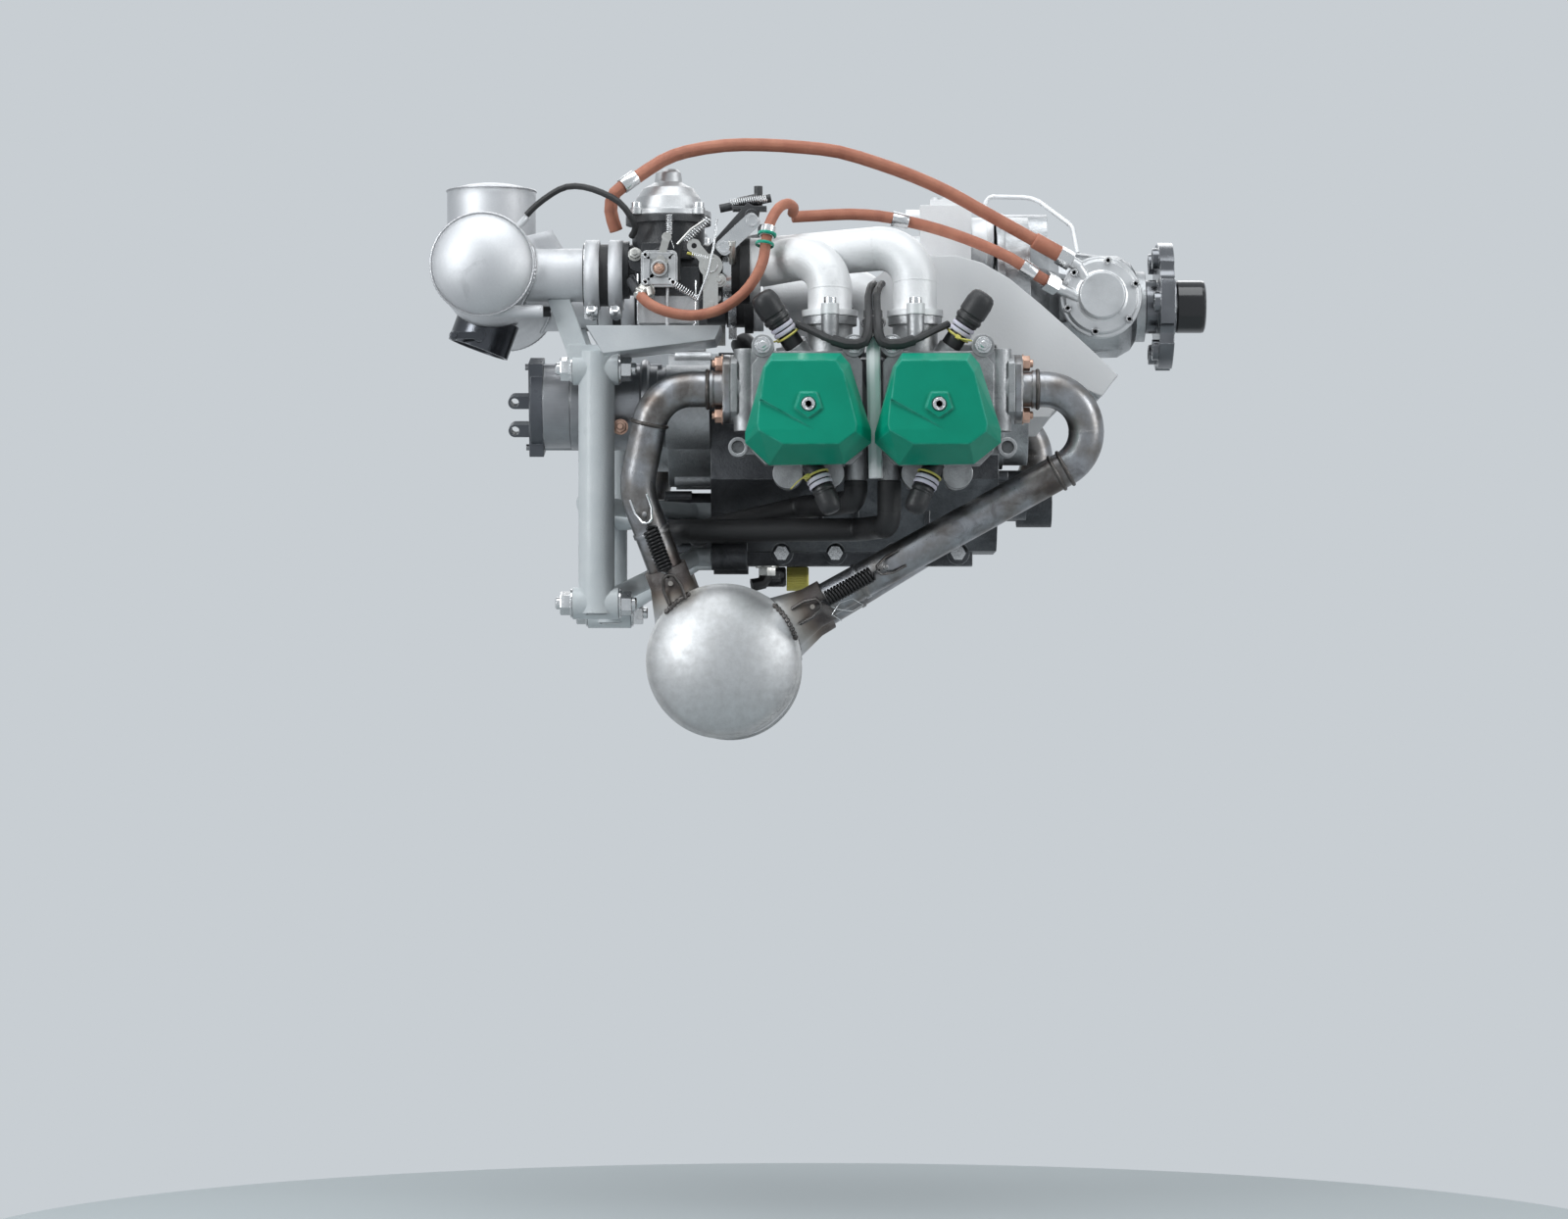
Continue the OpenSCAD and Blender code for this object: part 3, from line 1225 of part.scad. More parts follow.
module carburettor_caps() {
    z = carb_z + 49;
    color("#bcc0c3") for (s = SIDES) on_side(s) translate([chamber_x, carb_y, z]) {
        rotate_extrude() polygon([
            [0, 0], [chamber_r + 4, 0], [chamber_r + 4, 5], [chamber_r - 3, 6], [chamber_r - 6, 18],
            [chamber_r - 12, 27], [16, 31], [13, 33], [12, 42], [9, 45], [0, 45]
        ]);
        for (a = [45:90:315]) rotate(a) difference() {
            translate([chamber_r + 5, 0, 0]) cylinder(r = 6, h = 6);
            translate([chamber_r + 6, 0, -1]) cylinder(r = 2.2, h = 8);
        }
    }
}

module float_bowls() {
    top = carb_z - 26 - seat_gap;
    color("#8d9195") for (s = SIDES) on_side(s) {
        box([chamber_x - 28, carb_y - 26, top - 26], [chamber_x + 28, carb_y + 26, top]);
        rod_z(top - 32, top - 26, 14, chamber_x, carb_y);
        // Wire bail under the bowl
        bent_rod([
            [chamber_x, carb_y - 32, top + 8], [chamber_x, carb_y - 32, top - 33.5],
            [chamber_x, carb_y + 32, top - 33.5], [chamber_x, carb_y + 32, top + 8]
        ], [6, 6], 1.6);
    }
}

// Lever, shaft and butterfly disc in one, drawn for the left side, closed
module throttle_lever() {
    closed = 80;
    translate([shaft_x, 0, carb_z]) {
        rod_y(carb_y - 36, carb_y + 44, 4);
        rotate([0, 10, 0]) translate([0, carb_y, 0])
            rotate([0, closed + 10, 0]) intersection() {
                translate([0, 0, -1]) cylinder(r = venturi_r - 0.5, h = 2);
                cube([60, 2 * venturi_r, 3], center = true);
            }
        difference() {
            union() {
                plate_y(carb_y + 38, 3) {
                    circle(11);
                    rotate(130) translate([0, -5.5]) square([24, 11]);
                    rotate(130) translate([24, 0]) circle(6.5);
                    translate([-7, -41]) square([14, 41]);
                }
                rod_y(carb_y + 41, carb_y + 45, 7);
                rod_y(carb_y + 37.3, carb_y + 42, 3, 0, -36);
            }
            rod_y(carb_y + 37, carb_y + 46, 2.6, 24 * cos(130), 24 * sin(130));
        }
    }
}

module throttle_lever_right() color("#c5c8ca") on_side(RIGHT) throttle_lever();

module throttle_lever_left() color("#c5c8ca") on_side(LEFT) throttle_lever();

// Choke shaft with its lever, drawn for the left side
module choke_lever() {
    translate([choke_x, 0, choke_z]) {
        rod_y(carb_y + 24, carb_y + 46, 4);
        rod_y(carb_y + 37.5, carb_y + 41, 7);
        plate_y(carb_y + 41, 3) {
            circle(7.5);
            rotate(75) translate([0, -3.5]) square([22, 7]);
            rotate(75) translate([22, 0]) circle(4.5);
        }
    }
}

module choke_lever_right() color("#b5b9bc") on_side(RIGHT) choke_lever();

module choke_lever_left() color("#b5b9bc") on_side(LEFT) choke_lever();

module carburettor_sockets() {
    color("#161719") for (s = SIDES) on_side(s) difference() {
        union() {
            rod_x(carb_x1 + 1, manifold_x - seat_gap, spigot_r + 1, carb_y, carb_z);
            rod_x(manifold_x - 9, manifold_x - seat_gap, spigot_r + 7, carb_y, carb_z);
        }
        rod_x(carb_x1 - 1, carb_x1 + spigot_len + seat_gap, spigot_r - 3.95, carb_y, carb_z);
        rod_x(carb_x1 + spigot_len, manifold_x + 1, venturi_r, carb_y, carb_z);
    }
}

module intake_manifolds() {
    tube_r = 20.5;
    color("#d9dcde") for (s = SIDES) on_side(s) {
        difference() {
            union() {
                rod_x(manifold_x, manifold_x + 10, 30, carb_y, carb_z);
                for (f = [0, 1]) bent_rod(manifold_route(s, f), [36], tube_r);
                for (f = [0, 1]) translate([manifold_end_x(s, f), intake_y, intake_z]) {
                    rod_z(0, intake_flange_t, 26);
                    for (d = [-0.5, 0.5]) rod_z(0, intake_flange_t + 4, 8.5, 0, d * intake_screws);
                    box([-8.5, -intake_screws / 2, 0], [8.5, intake_screws / 2, intake_flange_t]);
                }
            }
            for (f = [0, 1]) {
                route = manifold_route(s, f);
                bent_rod(stretched(route, 12), [36], tube_r - 3);
                translate([manifold_end_x(s, f), intake_y, intake_z]) for (d = [-0.5, 0.5])
                    rod_z(-1, intake_flange_t + 5, 3.2, 0, d * intake_screws);
            }
            rod_x(manifold_x - 1, manifold_x + 12, venturi_r, carb_y, carb_z);
            box([manifold_x - 40, carb_y - 60, carb_z - 60], [manifold_x, carb_y + 60, carb_z + 60]);
            // Flat underside of the flanges
            box([manifold_x + 12, intake_y - 60, intake_z - 60], [front_cyl_x + 40, intake_y + 60, intake_z]);
        }
    }
}
function manifold_end_x(s, f) = (f == 0 ? rear_cyl_x + intake_in : front_cyl_x - intake_in) + side_shift(s);
function manifold_route(s, f) = [
    [manifold_x + 2, carb_y, carb_z + (f == 0 ? 3 : 9)],
    [manifold_end_x(s, f), intake_y - 10, carb_z + (f == 0 ? 12 : 19)],
    [manifold_end_x(s, f), intake_y, intake_z]
];

// Exhaust, drawn for the left side

function rear_route(s) = let (x0 = rear_cyl_x + side_shift(s) - port_reach - seat_gap / 2) [
    [x0, port_y, crank_z + port_rise],
    [min(80, x0 - 40), port_y, crank_z + port_rise],
    [60, port_y - 14, -5],
    rear_socket()
];
function front_route(s) = let (x0 = front_cyl_x + side_shift(s) + port_reach + seat_gap / 2) [
    [x0, port_y, crank_z + port_rise],
    [x0 + 28 + bend_r, port_y, crank_z + port_rise],
    [x0 + 28 + bend_r, port_y - 5, crank_z + port_rise - 1.6 * bend_r],
    front_socket()
];
socket_y = 168;
function rear_socket() = [91, socket_y, muffler_z + 77];
function front_socket() = [muffler_x + 86, socket_y, muffler_z + 52];

module exhaust_pipes(s) {
    for (k = [0, 1]) {
        route = k == 0 ? rear_route(s) : front_route(s);
        bends = k == 0 ? [s == LEFT ? 30 : 40, 60] : [bend_r, bend_r];
        tip = len(route) - 1;
        difference() {
            union() {
                bent_rod(route, bends, pipe_r);
                // Weld rings
                aim(route[tip], route[tip - 1]) translate([0, 0, 46]) cylinder(r = pipe_r + 1.2, h = 4);
                aim(route[0], route[1]) translate([0, 0, 16]) cylinder(r = pipe_r + 1.2, h = 4);
                spring_pin(s, k, false);
                // Flange that the studs clamp
                translate([route[0].x, 0, crank_z]) mirror([k == 0 ? 1 : 0, 0, 0]) exhaust_clamp();
            }
            bent_rod(stretched(route, 1), bends, pipe_r - pipe_wall);
        }
    }
}

// Flange of a pipe, with holes for the two studs
module exhaust_clamp() {
    difference() {
        exhaust_plate(0, 7);
        for (d = [-0.5, 0.5]) rod_x(-1, 8, 4.2, port_y, port_rise + d * stud_pitch);
    }
}

module exhaust_pipes_right() color("#9c958c") on_side(RIGHT) exhaust_pipes(RIGHT);

module exhaust_pipes_left() color("#9c958c") on_side(LEFT) exhaust_pipes(LEFT);

module muffler() {
    color("#a9a6a1") difference() {
        union() {
            translate([muffler_x, 0, muffler_z]) rotate([90, 0, 0]) {
                translate([0, 0, -muffler_len / 2]) cylinder(r = muffler_r, h = muffler_len);
                for (e = [0, 1]) mirror([0, 0, e]) translate([0, 0, muffler_len / 2]) {
                    rotate_extrude() polygon(dome_profile(muffler_r - 1, muffler_dome));
                    translate([0, 0, -6]) cylinder(r = muffler_r + 2.5, h = 6);
                }
            }
            for (s = SIDES) on_side(s) {
                socket(rear_socket(), rear_route(s)[2], 20);
                socket(front_socket(), front_route(s)[2], 20);
                for (k = [0, 1]) spring_pin(s, k, true);
            }
            // Outlet out of the left end
            rod_y(muffler_len / 2 + 1, outlet_end_y, 17, muffler_x + 14, muffler_z - 14);
        }
        rod_y(-muffler_len / 2 + 1, muffler_len / 2 - 1, muffler_r - 1.5, muffler_x, muffler_z);
        for (s = SIDES) on_side(s) {
            socket_bore(rear_socket(), rear_route(s)[2]);
            socket_bore(front_socket(), front_route(s)[2]);
        }
        rod_y(muffler_len / 2 - 20, outlet_end_y + 1, 15.5, muffler_x + 14, muffler_z - 14);
        inner_domes(muffler_x, muffler_z, muffler_len, muffler_r - 3.5, muffler_dome - 4);
    }
}

outlet_end_y = muffler_len / 2 + 48;
muffler_dome = 26;

// Hollow of a drum's domed ends
module inner_domes(x, z, len, r, h) translate([x, 0, z]) rotate([90, 0, 0])
    for (e = [0, 1]) mirror([0, 0, e]) translate([0, 0, len / 2 - 2]) rotate_extrude() polygon(dome_profile(r, h));

// Cone from the pipe's end to the drum, in line with the pipe
module socket(tip, from, top_r) {
    d = unit(tip - from);
    aim(tip - 12 * d, tip) rotate_extrude()
        polygon([[0, 0], [top_r, 0], [top_r, 16], [30, 58], [0, 58]]);
}

module socket_bore(tip, from) {
    d = unit(tip - from);
    aim(tip - 13 * d, tip) rotate_extrude()
        polygon([[0, 0], [pipe_r + 0.1, 0], [pipe_r + 0.1, 13.5], [pipe_r - 3, 13.5], [pipe_r - 3, 73], [0, 73]]);
}

// Coil springs that hold the pipes in their sockets, with hooked ends
module coil(a, b, r, wire, turns) {
    length = norm(b - a);
    steps = 7;
    last = turns * steps;
    rise = length / last;
    hook = 9;
    // Rows of: centre, direction, turn about the axis
    path = concat(
        [
            [[0, 0, -hook], [0, 0, 1], 0], [[0, 0, -4.5], [0, 0, 1], 0],
            [[0.6 * r, -0.6 * r, -1.6], [0.5, 0.4, 0.5], 0]
        ],
        [for (k = [0:last]) let (t = 360 * k / steps) [
            [r * cos(t), r * sin(t), rise * k], [-sin(t), cos(t), rise * steps / (2 * PI * r)], t
        ]],
        [
            [[0.6 * r, 0.6 * r, length + 1.6], [-0.5, 0.4, 0.5], 0],
            [[0, 0, length + 4.5], [0, 0, 1], 0], [[0, 0, length + hook], [0, 0, 1], 0]
        ]
    );
    aim(a, b) swept_rings([
        for (w = path) ring_points(w[0], unit(w[1]), wire, 4, [cos(w[2]), sin(w[2]), 0])
    ], 4);
}

// Each spring runs beside its pipe, from a pin on the pipe to a pin on the socket.
// Distances along the pipe from the socket's tip: upper and lower end of the coil.
function spring_ends() = [[rear_socket(), -52, -6], [front_socket(), -62, -8]];
function spring_dir(s, k) = unit(spring_ends()[k][0] - (k == 0 ? rear_route(s)[2] : front_route(s)[2]));
spring_out = 28.5;

module spring_pin(s, k, lower) {
    e = spring_ends()[k];
    at = lower ? e[2] + 11.6 : e[1] - 11.6;
    translate(e[0] + at * spring_dir(s, k)) rod_y(15.4, spring_out + 5, 2.2);
}

module exhaust_springs() {
    color("#3c3a38") for (s = SIDES) on_side(s) for (k = [0, 1]) {
        e = spring_ends()[k];
        c = e[0] + [0, spring_out, 0];
        coil(c + e[1] * spring_dir(s, k), c + e[2] * spring_dir(s, k), 6, 1.1, 9 + k);
    }
}

// Air shroud

shroud_y = 128;
function shroud_top() = [
    [282, 196], [300, 210], [326, 218], [360, 219], [385, 212], [411, 197], [440, 173],
    [466, 150], [490, 128], [513, 106]
];
function shroud_low() = [
    [498, 86], [474, 96], [462, 84], [448, 66], [430, 66], [408, 96], [398, 134], [282, 134]
];

module air_shroud() {
    n = len(shroud_top());
    band = concat(shroud_top(), [for (k = [n - 1:-1:0]) shroud_top()[k] - [1.5, 2.5]]);
    rear_band = [
        for (k = [0:4]) shroud_top()[k], for (k = [4:-1:0]) shroud_top()[k] - [0, 2.5]
    ];
    color("#e6e8ea") {
        for (s = SIDES) on_side(s) {
            plate_y(shroud_y, 2.5) polygon(concat(shroud_top(), shroud_low()));
            plate_y(96, shroud_y - 96 + 1) polygon(band);
        }
        plate_y(-97, 194) polygon(rear_band);
    }
}

// Fuel, vent and ignition lines, each held at both ends

long_hose = [
    [42, -184, 236], [37, -188, 254], [41, -188, 271], [58, -182, 284], [84, -170, 303], [107, -160, 313],
    [142, -150, 320], [177, -140, 322], [215, -130, 321], [250, -120, 318], [288, -110, 308],
    [321, -102, 297], [354, -95, 283], [384, -90, 267], [412, -85, 252], [440, -80, 237], [472, -74, 219]
];
middle_hose = [
    [206, -124, 256], [230, -118, 258], [260, -112, 260], [288, -106, 259], [308, -100, 256],
    [332, -96, 251], [357, -92, 244], [384, -92, 234], [414, -93, 220], [440, -87, 204], [458, -78, 195]
];
loop_hose = [
    [64, -192, 176], [70, -200, 169], [81, -204, 162], [96, -206, 157], [112, -207, 155], [128, -207, 157],
    [144, -206, 163], [160, -205, 175], [171, -204, 189], [177, -202, 201], [180, -199, 212],
    [183, -194, 234], [187, -188, 247], [194, -176, 259], [202, -163, 264], [207, -148, 262], [206, -136, 258]
];

module fuel_hoses() {
    color("#c4755c") {
        hose(long_hose, 6.2, 10);
        hose(middle_hose, 5.5, 10);
        hose(loop_hose, 5, 10);
    }
}

module vent_hoses() {
    color("#1e2023") {
        hose([
            [-42, -180, 251], [-33, -181, 260], [-18, -182, 271], [-4, -185, 277], [12, -192, 276],
            [29, -198, 270], [45, -201, 261], [55, -200, 249], [60, -192, 238], [56, -183, 231]
        ], 3, 8);
    }
}

module clamp_x(x0, x1, r, y, z, s) {
    on_side(s) difference() {
        union() {
            rod_x(x0, x1, r + 1.5, y, z);
            box([x0, y - 6, z - r - 12], [x1, y + 6, z - r + 1]);
            rod_y(y - 14, y + 10, 3, (x0 + x1) / 2, z - r - 7);
        }
        rod_x(x0 - 1, x1 + 1, r + 0.05, y, z);
    }
}

module hose_clamps() {
    color("#c3c7ca") {
        for (s = SIDES) {
            clamp_x(11, 22, spigot_r + 4, carb_y, carb_z - 5, s);
            clamp_x(carb_x1 + 3, carb_x1 + 11, spigot_r + 1, carb_y, carb_z, s);
        }
        // Nuts on the fuel hoses' front ends
        for (h = [[long_hose, 6.2], [middle_hose, 5.5]])
            aim(hose_end(h[0]), h[0][len(h[0]) - 2]) translate([0, 0, 0.5]) difference() {
                cylinder(r = 9.5, h = 14, $fn = 6);
                translate([0, 0, -1]) cylinder(r = h[1] + 0.4, h = 16);
            }
        p = loop_hose[11];
        d = unit(loop_hose[12] - loop_hose[10]);
        aim(p - 5 * d, p) difference() {
            cylinder(r = 7, h = 10);
            translate([0, 0, -1]) cylinder(r = 5.6, h = 12);
        }
    }
}

// Ignition

module spark_plugs() {
    color("#1a1b1e") for (i = CYLINDERS) at_cylinder(i) for (p = plug_axes()) {
        d = unit(p[1] - p[0]);
        rod(p[0] - 10 * d, p[0] + 4 * d, 7);
        rod(p[0] + 0.4 * d, p[0] + 12 * d, 9.5);
        rod(p[0] + 8 * d, p[1], 8.5);
    }
}

// Leads from the upper caps, outside the head nuts, then up between the heads to the shroud
module ignition_leads() {
    color("#1b1c1f") for (s = SIDES) on_side(s) for (front = [0, 1]) {
        e = front == 1 ? -1 : 1;
        from = (front == 1 ? front_cyl_x : rear_cyl_x) + side_shift(s);
        mid = (rear_cyl_x + front_cyl_x) / 2 + side_shift(s);
        hose([
            [from - 10 * e, 215, 146], [from + 3 * e, 229, 139], [from + 19 * e, 243, 130],
            [from + 34 * e, 247, 125], [mid - 12 * e, 247, 125], [mid - 5 * e, 247, 132], [mid - 4 * e, 240, 145],
            [mid - 4 * e, 226, 158], [mid - 4 * e, 200, 174], [mid - 4 * e + 3, 170, 186],
            [mid - 4 * e + 6, shroud_y + 3, 192]
        ], 3.5, 8, 2, [1, 0, 0.2]);
    }
}

crankcase_right();
crankcase_left();
cylinder_1();
cylinder_2();
cylinder_3();
cylinder_4();
cylinder_head_1();
cylinder_head_2();
cylinder_head_3();
cylinder_head_4();
valve_cover_1();
valve_cover_2();
valve_cover_3();
valve_cover_4();
pistons();
crankshaft();
flywheel();
camshaft();
pushrod_tubes();
propeller_shaft();
propeller_gear();
hub_cap();
gearbox_housing();
fuel_pump();
governor();
governor_lever();
ignition_housing();
starter_motor();
starter_bracket();
water_pump();
coolant_hoses();
oil_pump();
mount_frame();
drip_trays();
airbox();
airbox_sleeves();
intake_ring();
airbox_flap();
carburettor_right();
carburettor_left();
carburettor_caps();
float_bowls();
throttle_lever_right();
throttle_lever_left();
choke_lever_right();
choke_lever_left();
carburettor_sockets();
intake_manifolds();
exhaust_pipes_right();
exhaust_pipes_left();
muffler();
exhaust_springs();
air_shroud();
fuel_hoses();
vent_hoses();
hose_clamps();
spark_plugs();
ignition_leads();
case_bolts();
drain_cap();
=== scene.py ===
# %% [markdown]
# # A flat aircraft engine, dressed for its picture
#
# The engine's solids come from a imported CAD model, and they stay where they are. This
# lesson gives each of them a finish and adds the small things that make metal look made:
# weld beads, nuts, coil springs, hose sleeves, cable ties.
# Lengths in the lists below are millimetres, because that is how an engine is measured.

# %% Tools
import bpy
import bmesh
import math
from mathutils import Matrix, Vector


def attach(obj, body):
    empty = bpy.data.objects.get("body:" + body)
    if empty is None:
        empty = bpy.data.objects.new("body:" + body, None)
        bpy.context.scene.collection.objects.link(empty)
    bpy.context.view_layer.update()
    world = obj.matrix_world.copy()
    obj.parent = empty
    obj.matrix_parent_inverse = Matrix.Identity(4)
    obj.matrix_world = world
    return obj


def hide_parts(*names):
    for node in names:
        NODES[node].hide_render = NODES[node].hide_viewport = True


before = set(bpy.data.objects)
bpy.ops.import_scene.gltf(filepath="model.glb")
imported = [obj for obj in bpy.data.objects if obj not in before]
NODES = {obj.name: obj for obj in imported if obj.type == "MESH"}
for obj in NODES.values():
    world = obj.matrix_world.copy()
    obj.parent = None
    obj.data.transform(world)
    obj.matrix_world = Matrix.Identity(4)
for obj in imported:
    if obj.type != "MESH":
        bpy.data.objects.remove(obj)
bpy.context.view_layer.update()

# %% Measures
# Millimetres. X runs to the propeller, Y across the engine, Z up.
SIDES = ((-1, "right"), (1, "left"))  # sign of Y and name of each side
CYLINDERS = [(221, -1, -1), (194, 1, -1), (340, -1, 1), (313, 1, 1)]  # along X, side in Y, exhaust end
MIDDLE_X = {-1: 280.5, 1: 253.5}  # between the two cylinders of a side
PORT_Y, PORT_Z = 200, 87  # middle of the exhaust ports
CARB_X, CARB_Y = 89.5, 150  # upright middle of a carburettor
DRUM_X, DRUM_Z, DRUM_R = -83, 205, 48.6  # airbox drum
MUFFLER_X, MUFFLER_Z, MUFFLER_R = 142, -165, 70.4
FLOOR_TOP = -0.7  # metres
print(len(CYLINDERS), "cylinders")


# %% [markdown]
# ## Camera
# The picture was taken from about four and a half metres with a long lens, square to the
# engine's right side. The shift puts the horizon where the picture has it.

# %% Camera
camera_data = bpy.data.cameras.new("camera")
camera_data.sensor_width = 36
camera_data.lens = 105.75
camera_data.shift_x = -0.01625
camera_data.shift_y = 0.0925
camera = bpy.data.objects.new("camera", camera_data)
camera.location = (0.222, -4.476, -0.252)
camera.rotation_euler = (math.radians(90), 0, 0)
bpy.context.scene.collection.objects.link(camera)
bpy.context.scene.camera = camera
print("camera", tuple(camera.location))


# %% [markdown]
# ## Light
# A studio lights bare metal with large soft boxes: what looks bright on the metal is the
# reflection of a box, and what looks dark is the reflection of the room between the boxes.
# One big box above, a tall one at the left and a weaker one at the right do that here, and
# a fourth one lights the far side.

# %% Lamps
def soft_box(name, place, target, size, power, colour=(1, 1, 1)):
    lamp = bpy.data.lights.new(name, "AREA")
    lamp.shape = "RECTANGLE"
    lamp.size, lamp.size_y = size
    lamp.energy = power
    lamp.color = colour
    o = bpy.data.objects.new(name, lamp)
    o.location = place
    o.rotation_euler = (Vector(target) - Vector(place)).to_track_quat("-Z", "Y").to_euler()
    bpy.context.scene.collection.objects.link(o)


# name, place, what it points at, size in metres, watts, colour
soft_box("top_box", (0.1, -0.7, 2.2), (0.22, 0, 0), (2.6, 1.7), 40, (0.95, 0.98, 1))
soft_box("left_box", (-2.2, -2.1, 1.1), (0.2, 0, 0.1), (1.0, 2.2), 56, (0.95, 0.98, 1))
soft_box("right_box", (2.8, -1.4, 0.9), (0.25, 0, 0.1), (0.8, 2.2), 30, (0.97, 0.99, 1))
soft_box("back_box", (0.3, 2.2, 1.6), (0.2, 0, 0.1), (2.4, 1.2), 22)
print("lamps in place")


# %% [markdown]
# ## Shader nodes
# The room and every finish are built from shader nodes. A few helpers place a node with its
# inputs, do arithmetic on masks and start a node group.

# %% A node group builder
def link_in(tree, value, socket):
    """Sets a socket from another socket or from a plain value."""
    if isinstance(value, bpy.types.NodeSocket):
        tree.links.new(value, socket)
    elif value is not None:
        socket.default_value = value


def fill(tree, n, inputs):
    for key, value in inputs.items():
        link_in(tree, value, n.inputs[key])
    return n


def node(tree, kind, inputs=None, **settings):
    n = tree.nodes.new(kind)
    for key, value in settings.items():
        setattr(n, key, value)
    return fill(tree, n, inputs or {})


def math_node(tree, operation, a, b=None, c=None, clamp=False):
    return node(tree, "ShaderNodeMath", {0: a, 1: b, 2: c}, operation=operation, use_clamp=clamp).outputs[0]


def times(tree, a, b, clamp=False):
    return math_node(tree, "MULTIPLY", a, b, clamp=clamp)


def ranged(tree, value, low, high, to_low=0.0, to_high=1.0):
    return node(tree, "ShaderNodeMapRange", {"Value": value, "From Min": low, "From Max": high,
                                             "To Min": to_low, "To Max": to_high}).outputs["Result"]


def new_group(name, inputs, outputs):
    tree = bpy.data.node_groups.new(name, "ShaderNodeTree")
    for label, kind, value in inputs:
        socket = tree.interface.new_socket(label, in_out="INPUT", socket_type=kind)
        if value is not None:
            socket.default_value = value
    for label, kind in outputs:
        tree.interface.new_socket(label, in_out="OUTPUT", socket_type=kind)
    return tree, tree.nodes.new("NodeGroupInput").outputs, tree.nodes.new("NodeGroupOutput").inputs


FLOAT, VECTOR = "NodeSocketFloat", "NodeSocketVector"
print("node helpers ready")


# %% [markdown]
# ## Room
# The camera, and whatever is seen through or in a surface, gets the plain pale background.
# All other light from around is a weak blue-grey.

# %% World
world = bpy.data.worlds.new("studio")
world.use_nodes = True
bpy.context.scene.world = world
bpy.context.scene.view_settings.view_transform = "Standard"
tree = world.node_tree
tree.nodes.clear()
path = node(tree, "ShaderNodeLightPath").outputs
seen = math_node(tree, "MAXIMUM", path["Is Camera Ray"], path["Is Transmission Ray"])
seen = math_node(tree, "MAXIMUM", seen, path["Is Glossy Ray"])
room = node(tree, "ShaderNodeBackground", {"Color": (0.55, 0.62, 0.68, 1), "Strength": 0.1}).outputs[0]
wall = node(tree, "ShaderNodeBackground", {"Color": (0.578, 0.617, 0.651, 1), "Strength": 1.0}).outputs[0]
mixed = node(tree, "ShaderNodeMixShader", {0: seen, 1: room, 2: wall}).outputs[0]
node(tree, "ShaderNodeOutputWorld", {0: mixed})
print("world", world.name)

# %% Floor
bpy.ops.object.select_all(action="DESELECT")
bpy.ops.mesh.primitive_cylinder_add(vertices=160, radius=0.804, depth=0.03,
                                    location=(0.222, -0.23, FLOOR_TOP - 0.015))
floor = bpy.context.object
floor.name = "floor_disc"
bpy.ops.object.transform_apply(location=True, rotation=True, scale=True)
floor_paint = bpy.data.materials.new("floor_paint")
floor_paint.use_nodes = True
shader = floor_paint.node_tree.nodes["Principled BSDF"]
shader.inputs["Base Color"].default_value = (0.52, 0.57, 0.59, 1)
shader.inputs["Roughness"].default_value = 0.7
floor.data.materials.append(floor_paint)
print("floor at z", FLOOR_TOP)


# %% [markdown]
# ## Finishes shared by many parts
# Real metal is never one colour. A casting has a fine sand grain, a turned part has thin lines, handling leaves
# stains, and paint wears thin along edges; on the green paint the edge mask paints a lighter highlight instead.
# Each effect is built once as a node group that gives out a mask, and every finish uses it with its own values.

# %% [markdown]
# ### Grain
# Cast aluminium and powder coat have a small, even unevenness. Two sizes of noise give it:
# a fine one for the bump and a broad one for cloudy colour.

# %% Grain group
grain, g_in, g_out = new_group("surface_grain", [("Vector", VECTOR, None), ("Scale", FLOAT, 400.0)],
                               [("Fine", FLOAT), ("Cloud", FLOAT)])
fine = node(grain, "ShaderNodeTexNoise",
            {"Vector": g_in["Vector"], "Scale": g_in["Scale"], "Detail": 4.0, "Roughness": 0.6})
broad_scale = times(grain, g_in["Scale"], 0.06)
broad = node(grain, "ShaderNodeTexNoise", {"Vector": g_in["Vector"], "Scale": broad_scale, "Detail": 3.0})
link_in(grain, ranged(grain, fine.outputs["Fac"], 0.3, 0.7), g_out["Fine"])
link_in(grain, ranged(grain, broad.outputs["Fac"], 0.33, 0.67), g_out["Cloud"])
print(grain.name)


# %% [markdown]
# ### Brushed lines
# A brush or a lathe tool leaves hair lines that run one way. Noise becomes lines when its
# space is squeezed along one direction, so the group takes a stretch for each axis.

# %% Brushed group
brushed, b_in, b_out = new_group("brushed_lines",
                                 [("Vector", VECTOR, None), ("Stretch", VECTOR, (1.0, 1.0, 1.0))],
                                 [("Lines", FLOAT)])
pulled = node(brushed, "ShaderNodeVectorMath", {0: b_in["Vector"], 1: b_in["Stretch"]},
              operation="MULTIPLY").outputs[0]
hairs = node(brushed, "ShaderNodeTexNoise", {"Vector": pulled, "Scale": 1.0, "Detail": 5.0, "Roughness": 0.7})
link_in(brushed, ranged(brushed, hairs.outputs["Fac"], 0.28, 0.72), b_out["Lines"])
print(brushed.name)


# %% [markdown]
# ### Stains
# Fuel, oil and fingers leave darker patches with soft borders. Noise that is itself pushed
# about by noise makes such patches, because they never follow a grid.

